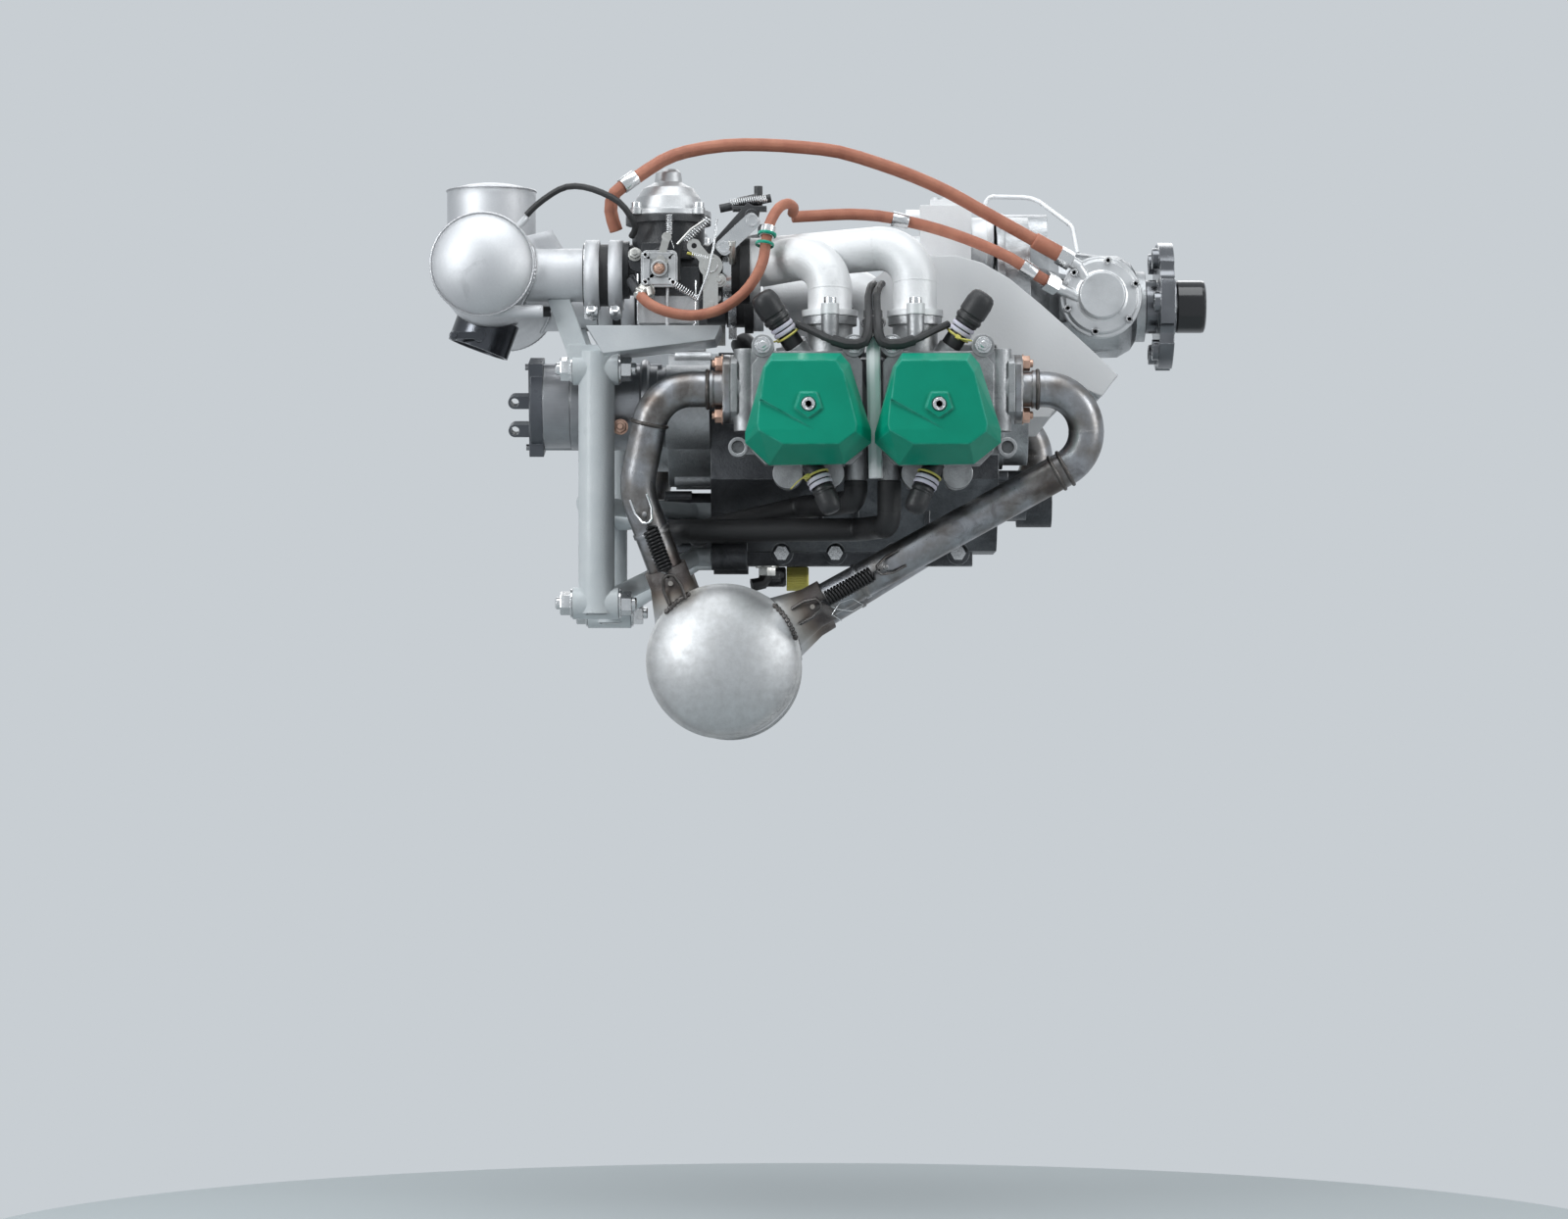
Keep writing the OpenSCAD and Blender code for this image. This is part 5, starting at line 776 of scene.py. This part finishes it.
# %% Drum seams
def bead(name, points, width, finish, closed=True, ripple=0.25):
    """A rippled cord of weld metal along points in mm."""
    fresh()
    curve = bpy.data.curves.new(name, "CURVE")
    curve.dimensions = "3D"
    curve.bevel_depth = width / 2000
    curve.bevel_resolution = 2
    line = curve.splines.new("POLY")
    line.points.add(len(points) - 1)
    for k, pt in enumerate(points):
        line.points[k].co = (*(v / 1000 for v in pt), 1)
        line.points[k].radius = 1 + (ripple if k % 2 == 0 else -ripple)
    line.use_cyclic_u = closed
    curve.use_fill_caps = not closed
    o = bpy.data.objects.new(name, curve)
    bpy.context.scene.collection.objects.link(o)
    bpy.context.view_layer.objects.active = o
    o.select_set(True)
    bpy.ops.object.convert(target="MESH")
    o = bpy.context.object
    o.name = o.data.name = name
    bpy.ops.object.shade_smooth_by_angle(angle=math.radians(40))
    wear(o, finish)
    return mount(o, "engine")


def circle_of(centre, axis, radius, n=150):
    """Points of a circle round an axis, in mm."""
    turn = turned_to(axis).to_3x3()
    angles = [2 * math.pi * k / n for k in range(n)]
    return [Vector(centre) + turn @ Vector((radius * math.cos(a), radius * math.sin(a), 0)) for a in angles]


def saddle(centre, small, along, n=120):
    """Joint of a tube with the airbox drum: along is Z for the riser, X for a side tube."""
    pts = []
    for k in range(n):
        a = 2 * math.pi * k / n
        u, v = centre[0] + small * math.cos(a), centre[1] + small * math.sin(a)
        if along == "Z":
            pts.append((u, v, DRUM_Z + math.sqrt(max(DRUM_R ** 2 - (u - DRUM_X) ** 2, 0))))
        else:
            pts.append((DRUM_X + math.sqrt(max(DRUM_R ** 2 - (v - DRUM_Z) ** 2, 0)), u, v))
    return pts


bead("riser_weld", saddle((-87, 0), 43.6, "Z"), 3.6, "clean_weld")
bead("riser_cap_seam", circle_of((-87, 0, 295), (0, 0, 1), 43), 1.8, "clean_weld")
for s, side in SIDES:
    bead(f"airbox_seam_{side}", circle_of((DRUM_X, s * 185, DRUM_Z), (0, 1, 0), 48), 2.2, "clean_weld")
    bead(f"tube_weld_{side}", saddle((s * CARB_Y, 198), 25.6, "X", 90), 3.4, "clean_weld")
print("drum joints welded")


# %% [markdown]
# ### Welds of the exhaust drum
# Each exhaust pipe ends in a cone that is welded to the drum's side. The seam is found by
# walking round the cone and stepping along its axis until the drum's surface is reached.

# %% Cone welds
def drum_seam(tip, back, n=72):
    axis = unit(back, tip)
    side = axis.cross(Vector((0, 1, 0))).normalized()
    up = axis.cross(side)
    pts = []
    for k in range(n):
        a = 2 * math.pi * k / n
        out = side * math.cos(a) + up * math.sin(a)
        for step in range(1200):
            t = step * 0.1
            r = 20 if t < 4 else min(30, 20 + (t - 4) * 10 / 42)  # the cone widens from 20 to 30
            q = Vector(tip) + axis * t + out * (r + 0.3)
            if math.hypot(q.x - MUFFLER_X, q.z - MUFFLER_Z) < MUFFLER_R:
                pts.append(q)
                break
    return pts


for k, (port, bend, knee, cone) in enumerate(PIPES):
    bead(f"muffler_cone_weld_{k + 1}", drum_seam(cone, knee), 4.6, "dark_weld")
print("cones welded")


# %% [markdown]
# ### Mitred bends
# The tight bends are cut from ready-made elbows, so a thin weld runs round the pipe where a
# bend ends. Two straight lines and the bend's radius give that place.

# %% Bend welds
spots = []
for route, i, radius, past in zip(PIPES, (1, 1, 2, 2), (40, 30, 39, 39), ((0,), (0,), (-1, 8), (-1, 8))):
    before, after = unit(route[i - 1], route[i]), unit(route[i], route[i + 1])
    reach = radius * math.tan(before.angle(after) / 2)
    spots += [(Vector(route[i]) + after * (reach + far), after) for far in past]
copies(weld, "bend_weld", ring_spots(16.6, spots))


# %% [markdown]
# ## Plug cap rings and ties
# Each rubber plug cap has two pale rings where its shield is crimped, and a small yellow tie
# with a loose tail that marks it as checked. The rings are lathe-turned: a short tube whose
# edges are bevelled.

# %% Cap rings
fresh()
cylinder(36, 0.0102, 0.0034, (0, 0, 0), end_fill_type="NOTHING")
band = shaping("cap_band_master")
select_whole()
bpy.ops.mesh.subdivide(number_cuts=1)
pick(band, lambda c, n: abs(c.z) < 0.4, "edges")
bpy.ops.transform.resize(value=(1.05, 1.05, 1))
select_whole()
bpy.ops.mesh.solidify(thickness=-0.0008)
band = master(band, "band")

fresh()
bpy.ops.mesh.primitive_torus_add(major_radius=0.0108, minor_radius=0.0011, major_segments=40, minor_segments=8)
tie = shaping("cap_tie_master")
bpy.ops.mesh.primitive_cube_add(size=0.004, location=(0.0118, 0, 0))
pick(tie, lambda c, n: c.x > 13 and n.x > 0.9)
extrude(0.003, 0.001, 0)
bpy.ops.transform.resize(value=(0.5, 0.5, 0.3))
extrude(0.006, 0.004, 0.002)
extrude(0.004, 0.006, 0.003)
tie = master(tie, "tie")
print("cap ring and tie ready")

# %% Place cap rings
caps = []
for x, s, e in CYLINDERS:
    for a, b in (((12.5, 211, 126), (42, 220, 170)), ((-3, 233.5, 16), (-17, 241, -16))):
        start = Vector((x + e * a[0], s * a[1], a[2]))
        end = Vector((x + e * b[0], s * b[1], b[2]))
        caps.append((start, end))
copies(band, "cap_band", [(toward(a, b, d), unit(a, b)) for a, b in caps for d in (17, 22)])
copies(tie, "cap_tie", [(toward(a, b, 12), unit(a, b), 200) for a, b in caps])


# %% [markdown]
# ### Rubber boots
# Over each cap sits a thick rubber boot that keeps water out and damps the rattle. A body
# like this is turned: one round face is extruded along its axis, and each step is scaled to
# the next radius.

# %% Turned boots
def turned(name, profile, sides=32):
    """A body turned on Z from a list of heights and radii in mm."""
    fresh()
    bpy.ops.mesh.primitive_circle_add(vertices=sides, radius=profile[0][1] / 1000, fill_type="NGON",
                                      location=(0, 0, profile[0][0] / 1000))
    o = shaping(name)
    select_whole()
    for (z0, r0), (z1, r1) in zip(profile, profile[1:]):
        extrude(0, 0, (z1 - z0) / 1000)
        bpy.ops.transform.resize(value=(r1 / r0, r1 / r0, 1))
    select_whole()
    bpy.ops.mesh.normals_make_consistent(inside=False)
    return o


boot = master(turned("plug_boot_master",
                     [(0, 9.2), (1, 11), (4, 11.4), (5, 12.6), (8, 12.9), (9, 11.9), (11, 11.9), (12, 12.9),
                      (24, 12.9), (30, 11.8), (33, 10), (34.5, 7), (35, 3)]), "plug")
copies(boot, "plug_boot", [(toward(a, b, 24), unit(a, b)) for a, b in caps if a.z > 60])
copies(boot, "lower_boot", [(toward(a, b, 22), unit(a, b), 0, 0.82) for a, b in caps if a.z < 60])


# %% [markdown]
# ## Carburettor dress
# A constant-depression carburettor carries a square choke housing on its side, held by three
# screws, with a copper-plated idle jet in its middle and return springs that pull its levers
# shut. The housing starts as a cube that is bevelled and inset; a spring is one circle of
# wire wound up by the Screw modifier.

# %% Choke housing
fresh()
box((0.0822, -0.1885, 0.2), (0.034, 0.008, 0.034))
housing = shaping("choke_housing_right")
pick(housing, lambda c, n: abs(n.y) > 0.9, "edges")
bevel(0.005, 3)
pick(housing, lambda c, n: n.y < -0.9)
inset(0.0022)
extrude(0, -0.0016, 0)
inset(0.006)
extrude(0, 0.002, 0)
cylinder(28, 0.0078, 0.009, (0.0822, -0.192, 0.2),
         rotation=ALONG_Y)
pick(housing, lambda c, n: n.y < -0.9 and c.y < -196)
inset(0.002)
extrude(0, 0.002, 0)
finished(housing, "carb_cap", 30)
print("choke housing", len(housing.data.polygons), "faces")


def twin(o, name):
    """The same piece on the left side, as a mirror image with its faces turned out again."""
    other = o.copy()
    other.data = o.data.copy()
    other.name = other.data.name = name
    bpy.context.scene.collection.objects.link(other)
    other.data.transform(Matrix.Scale(-1, 4, (0, 1, 0)))
    other.data.flip_normals()
    mount(other, "engine")


mount(housing, "engine")
twin(housing, "choke_housing_left")
copies(screw, "housing_screw", both_sides([((82.2 + a * 12.8, -193.2, 200 + b * 12.6), (0, -1, 0), 0, 0.5)
                                           for a, b in ((-1, -1), (-1, 1), (1, -1))]))
copies(nut, "idle_jet", both_sides([((82.2, -194.2, 200), (0, -1, 0), 10, 0.58)]), finish="copper")

# %% Springs
def coil(name, start, end, radius, wire, turns, finish="bright"):
    """A coil spring: a small circle of wire wound up along Z, then laid between two points."""
    fresh()
    length = (Vector(end) - Vector(start)).length
    bpy.ops.mesh.primitive_circle_add(vertices=8, radius=wire / 1000, location=(radius / 1000, 0, 0),
                                      rotation=ALONG_Y)
    o = shaping(name)
    bpy.ops.object.mode_set(mode="OBJECT")
    bpy.ops.object.modifier_add(type="SCREW")
    wind = o.modifiers[-1]
    wind.iterations = turns
    wind.screw_offset = length / turns / 1000
    wind.steps = wind.render_steps = 20
    bpy.ops.object.modifier_apply(modifier=wind.name)
    bpy.ops.object.mode_set(mode="EDIT")
    select_whole()
    bpy.ops.mesh.remove_doubles(threshold=0.00001)
    bpy.ops.mesh.normals_make_consistent(inside=False)
    bpy.ops.mesh.select_all(action="DESELECT")
    bpy.ops.mesh.select_mode(type="VERT")
    bpy.ops.mesh.select_non_manifold()
    bpy.ops.mesh.edge_face_add()
    finished(o, finish, 60)
    o.data.transform(Matrix.Translation(Vector(start) / 1000) @ turned_to(Vector(end) - Vector(start)))
    return mount(o, "engine")


for s, side in SIDES:
    coil(f"throttle_spring_{side}", (106, s * 191, 226), (128, s * 191, 247), 3.6, 0.55, 12)
    coil(f"choke_spring_{side}", (96, s * 194, 186), (118, s * 196, 172), 3.2, 0.5, 11)
    coil(f"idle_spring_{side}", (112, s * 188, 214), (128, s * 188, 210), 3.0, 0.5, 8)
    coil(f"shaft_spring_{side}", (130, s * 186.5, 203), (130, s * 195, 203), 6.5, 0.6, 6)
print("eight springs")


# %% [markdown]
# ### Rods, screws and unions of the carburettor
# Thin rods join the levers, an idle screw stands in its own spring, and the fuel comes in
# through a union with a hexagon. A rod is a cord with round caps; its eyes are small rings.

# %% Rods and unions
def rod_piece(name, points, width, finish):
    return bead(name, points, width, finish, closed=False, ripple=0.0)


for s, side in SIDES:
    rod_piece(f"idle_screw_{side}", [(108, s * 188, 215), (134, s * 188, 208.5)], 3.2, "brass")
    rod_piece(f"link_rod_{side}", [(99, s * 197, 222), (112, s * 198, 236), (124, s * 197, 244)], 2.4, "zinc")
    rod_piece(f"choke_cable_{side}",
              [(118, s * 198, 170), (128, s * 200, 196), (133, s * 199, 220), (136, s * 195, 246)], 2.2,
              "bright")
    rod_piece(f"balance_stub_{side}", [(150, s * 176, 208), (150, s * 186, 214), (150, s * 190, 226)], 7.5,
              "zinc")
    rod_piece(f"bowl_wire_{side}",
              [(62, s * 183.5, 196), (62, s * 184, 150), (64, s * 182, 146), (112, s * 182, 146),
               (116, s * 184, 150), (116, s * 183.5, 190)], 1.8, "bright")
copies(nut, "carburettor_union",
       both_sides([((66, -190, 178), (-0.55, -0.6, -0.3), 0, 0.8),
                   ((71, -186, 181), (-0.55, -0.6, -0.3), 0, 1.0), ((59.5, -184, 214), (0, -1, 0.2), 0, 0.7),
                   ((89.5, -150, 142.5), (0, 0, -1), 0, 1.0), ((138, -184, 190), (0, -1, 0), 15, 0.7)]),
       finish="zinc")
print("rods and unions placed")


# %% [markdown]
# ## Mount frame and starter details
# Two long bolts tie each foot of the frame, so a hexagon shows at each end. The starter's
# drum has a pressed ring at each end and its wire post.

# %% Frame bolts
copies(nut, "frame_bolt", both_sides([((x, -150, z), (way, 0, 0), 8, 1.45)
                                      for x, way in ((-0.6, -1), (43.6, 1)) for z in (-110, 110)]))
copies(weld, "starter_ring", [((x, -92, 78.5), (1, 0, 0), 0, 2.03) for x in (66, 24)], finish="starter")
copies(nut, "starter_post", [((44, -139.2, 56.5), (0, -1, 0), 0, 0.8)], finish="copper")


# %% [markdown]
# ## Small fittings round the engine
# A capped drain stub hangs from the airbox tube, a black union sits beside the drain plug,
# lock wires run by two of the springs, and a pale pipe shows between the two covers.

# %% Small fittings
rod_piece("drain_stub", [(-14, -150, 173), (-18, -150, 166), (-24, -150, 164), (-30, -150, 164)], 5.6, "bright")
rod_piece("drain_stub_cap", [(-21, -150, 164), (-34, -150, 164), (-47, -150, 164)], 10, "rubber")
rod_piece("case_union", [(181, -12, -71), (180, -12, -80), (176, -14, -86), (166, -16, -88)], 13, "rubber")
copies(nut, "case_union_nut", [((181, -12, -69.6), (0, 0, -1), 0, 1.2)], finish="zinc")
rod_piece("lock_wire",
          [(238, -196, -112), (248, -199, -117), (262, -200, -119), (272, -198, -113), (262, -199, -107),
           (250, -200, -111), (243, -199, -122), (252, -199, -128)], 0.9, "bright")
rod_piece("lock_wire_rear", [(84, -190, -60), (76, -192, -70), (84, -194, -82), (94, -194, -86)], 0.9, "bright")
rod_piece("pipe_between_covers", [(280.5, -236, 132), (281, -240, 96), (282, -241, 50), (283, -240, 2)], 13,
          "shroud")
print("small fittings placed")


# %% [markdown]
# ## Hose ends
# The fire sleeve is cut a little short of each union and bound with a crimped collar, so the
# end looks thicker and cleaner than the hose. Two green seal rings sit where the loop passes
# its clamp.

# %% Hose collars
fresh()
cylinder(36, 0.0078, 0.03, (0, 0, 0.015))
collar = shaping("hose_collar_master")
pick(collar, lambda c, n: abs(n.z) > 0.9)
bevel(0.0014, 3)
collar = master(collar, "hose")
copies(collar, "hose_collar", [((436, -80.7, 239.1), unit((412, -85, 252), (440, -80, 237)))])
loop_way = unit((180, -199, 212), (183, -194, 234))
copies(band, "seal_ring", [(p, loop_way, 0, 0.78) for p in ((180.4, -197, 222), (182.6, -194.6, 231.5))],
       finish="green")


# %% [markdown]
# ## Clips, ferrules and bands
# A pressed clip sits on the middle hose, a ferrule on each cut end, and wide aluminium bands
# hold the rubber sleeves of the airbox. Each is a short tube with rolled edges: a cylinder
# without ends, given a wall by solidify, and bevelled at its rims.

# %% Band master
def band_of(name, radius, length, wall, rim):
    fresh()
    cylinder(64, radius / 1000, length / 1000, (0, 0, length / 2000),
             end_fill_type="NOTHING")
    o = shaping(name)
    select_whole()
    bpy.ops.mesh.solidify(thickness=wall / 1000)
    pick(o, lambda c, n: abs(n.z) < 0.1 and (c.z < 0.05 or c.z > length - 0.05), "edges")
    bevel(rim / 1000, 2)
    return o


wide = master(band_of("sleeve_band_master", 33.0, 13.6, 3.4, 0.9), "airbox")
copies(wide, "sleeve_band", both_sides([((x, -CARB_Y, 198), (1, 0, 0)) for x in (11.8, 33.8)]))
clip = master(band_of("hose_clip_master", 7.1, 16, 0.8, 0.25), "bright")
copies(clip, "hose_clip", [((300, -101.4, 257), unit((308, -100, 256), (332, -96, 251))),
                           ((47.5, -185.9, 277), unit((41, -188, 271), (58, -182, 284)), 0, 1.02)])
copies(clip, "ferrule", [((424, -90.6, 214), unit((414, -93, 220), (440, -87, 204)), 0, 0.98)])
fresh()
box((0, 0, 0.003), (0.011, 0.016, 0.009))
lug = shaping("clamp_lug_master")
select_whole()
bevel(0.0016, 2)
cylinder(20, 0.0034, 0.024, (0, 0.001, 0.004), rotation=ALONG_Y)
pick(lug, lambda c, n: abs(n.y) > 0.95 and abs(c.y) > 10)
inset(0.001, depth=-0.0006)
lug = master(lug, "bright")
copies(lug, "clamp_lug", both_sides([((x, -158, 165.4), (0, -0.25, -1)) for x in (18.6, 40.6)]))


# %% [markdown]
# ### Lead sleeves
# The two thin leads of each side run in a thick sleeve where they lie on the heads, and a
# black tie holds them together where they turn up.

# %% Sleeves on the leads
for x, s, e in CYLINDERS:
    mid = MIDDLE_X[s]
    turn = -e
    pts = [(x + turn * 22, s * 244, 129), (x + turn * 34, s * 247, 125), (mid - turn * 15, s * 247, 124.6),
           (mid - turn * 8, s * 247, 127), (mid - turn * 5, s * 246, 134), (mid - turn * 4, s * 240, 145),
           (mid - turn * 4, s * 228, 156)]
    rod_piece(f"lead_sleeve_{'right' if s < 0 else 'left'}_{'front' if e > 0 else 'rear'}", pts, 10, "rubber")
for s, side in SIDES:
    mid = MIDDLE_X[s]
    bead(f"lead_tie_{side}",
         [(mid + 10.4 * math.cos(a), s * (240 - 3.4 * math.sin(a)), 145 + 6.4 * math.sin(a))
          for a in [2 * math.pi * k / 40 for k in range(40)]], 2.4, "gloss_black", ripple=0.0)
print("lead sleeves placed")


# %% [markdown]
# ## Springs of the exhaust
# Each pipe is held in its cone by a close-wound spring between two wire loops, so that the
# joint can move with heat. The loops are welded to the pipe and the cone.

# %% Close-wound springs
def spring_line(route):
    """The cone's tip, the pipe's direction, the way out to the spring and where it starts and ends."""
    tip, along = Vector(route[3]), unit(route[2], route[3])
    far, near = (-52, -6) if tip.x < 150 else (-62, -8)
    return tip, along, Vector((0, math.copysign(28.5, tip.y), 0)), far, near


def whole_spring():
    """The four springs with their hooks as one piece, because they stand for one solid."""
    parts = []
    for k, route in enumerate(PIPES):
        tip, along, shift, far, near = spring_line(route)
        a, b = tip + shift + along * (far + 3), tip + shift + along * (near - 3)
        o = coil(f"exhaust_coil_{k}", a, b, 6.3, 1.5, 12 if k < 2 else 15, "spring")
        parts.append(o)
        for n, (at, way) in enumerate(((a, -1), (b, 1))):
            side = along.cross(Vector((0, 1, 0))).normalized()
            pts = [at + side * 6.3, at + side * 3 + along * way * 1.5, at + along * way * 3,
                   at + along * way * 6, at + along * way * 8.5 - shift.normalized() * 2]
            parts.append(rod_piece(f"exhaust_hook_{k}_{n}", pts, 2.4, "spring"))
    fresh()
    for o in parts:
        o.parent = None
        o.select_set(True)
    bpy.context.view_layer.objects.active = parts[0]
    bpy.ops.object.join()
    o = bpy.context.object
    o.name = o.data.name = "tension_springs"
    return o


def wire_loop(name, route, half, bow, width, finish):
    """A loop from the steps along, out and aside of one half, then its bow and the other half."""
    tip, along, shift = spring_line(route)[:3]
    side = along.cross(Vector((0, 1, 0))).normalized()
    out = shift.normalized()
    one, other = ([tip + along * a + out * b + side * (sign * c) for a, b, c in half] for sign in (1, -1))
    rod_piece(name, one + [tip + shift + along * bow] + other[::-1], width, finish)


springs = whole_spring()
mount(springs, "engine")
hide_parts("exhaust_springs")
for k, route in enumerate(PIPES):
    far, near = spring_line(route)[3:]
    wire_loop(f"pipe_loop_{k + 1}", route, [(far - 30, 15.2, 8), (far - 16, 17, 8), (far - 5, 25.5, 4.4)],
              far - 3, 2.6, "bright" if k < 2 else "dark_weld")
    wire_loop(f"cone_loop_{k + 1}", route, [(near + 30, 23.5, 8), (near + 16, 24, 8.5), (near + 5, 27, 5)],
              near + 3, 3.4, "dark_weld")
print("springs and loops placed")


# %% [markdown]
# ## Drain cap
# The cap under the case has a knurled grip, so fingers turn it. Every side face of a many-sided
# cylinder is inset and pushed out on its own, which gives the ribs. It screws onto a black block.

# %% Knurled cap
fresh()
cylinder(44, 0.0112, 0.0215, (0.2105, 0, -0.0812),
         rotation=ALONG_X)
grip = shaping("drain_cap_knurled")
pick(grip, lambda c, n: n.x > 0.9)
bevel(0.0012, 3)
pick(grip, lambda c, n: abs(n.x) < 0.05)
inset(0.00028, depth=0.0006, use_individual=True)
finished(grip, "brass", 30)
mount(grip, "engine")
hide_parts("drain_cap")
fresh()
box((0.1885, 0, -0.0795), (0.0215, 0.019, 0.019))
block = shaping("drain_block")
select_whole()
bevel(0.002, 2)
pick(block, lambda c, n: n.y < -0.95)
inset(0.0045)
extrude(0, -0.004, 0)
finished(block, "gloss_black", 30)
mount(block, "engine")
print("drain cap", len(grip.data.polygons), "faces")


# %% [markdown]
# ## More fasteners and the cable bar
# Hexagons stand on the head bosses and on the pump's rim, and a plated bar carries the
# throttle cable beside the carburettor.

# %% Heads, pump and cable bar
copies(nut, "head_nut",
       [((x + a, s * 237.9, 125), (0, s, 0), 9, 0.8) for x, s, e in CYLINDERS for a in (-42, 42)])
angles = [math.radians(60 * k + 10) for k in range(6)]
copies(screw, "pump_screw",
       [((501 + 34.5 * math.sin(a), -75.6, 186 + 34.5 * math.cos(a)), (0, -1, 0), 20 * k, 0.62) for k,
        a in enumerate(angles)], finish="forged")
fresh()
box((0, 0, 0.0225), (0.0155, 0.0026, 0.049))
bar = shaping("cable_bar_right")
pick(bar, lambda c, n: abs(n.y) > 0.9, "edges")
bevel(0.006, 4)
for z in (0.041, 0.004):
    cylinder(24, 0.0058, 0.006, (0, -0.002, z), rotation=ALONG_Y)
pick(bar, lambda c, n: n.y < -0.9 and c.y < -4.5)
inset(0.0018)
extrude(0, 0.0015, 0)
finished(bar, "bright")
bar.data.transform(Matrix.Translation((0.139, -0.1885, 0.217)) @ Matrix.Rotation(math.radians(47), 4, "Y"))
mount(bar, "engine")
twin(bar, "cable_bar_left")
for s, side in SIDES:
    coil(f"cable_spring_{side}", (148, s * 172, 263.5), (182, s * 172, 267.5), 3.2, 0.6, 17)
    coil(f"cap_spring_{side}", (91.5, s * 189.5, 251), (91.5, s * 189.5, 232), 3.3, 0.55, 10)
    rod_piece(f"cap_spring_wire_{side}", [(91.5, s * 186, 256), (91.5, s * 189, 252), (91.5, s * 189.5, 251)],
              1.1, "bright")
    rod_piece(f"choke_wire_{side}", [(91.5, s * 189.5, 232), (93.5, s * 190, 226), (96, s * 191, 219)], 1.1,
              "bright")
print("fasteners and bars placed")


# %% [markdown]
# ## Finish
# The masters were only patterns, so they go. The finish must not change the size.

# %% Tidy
for o in MASTERS:
    bpy.data.objects.remove(o)
MASTERS.clear()
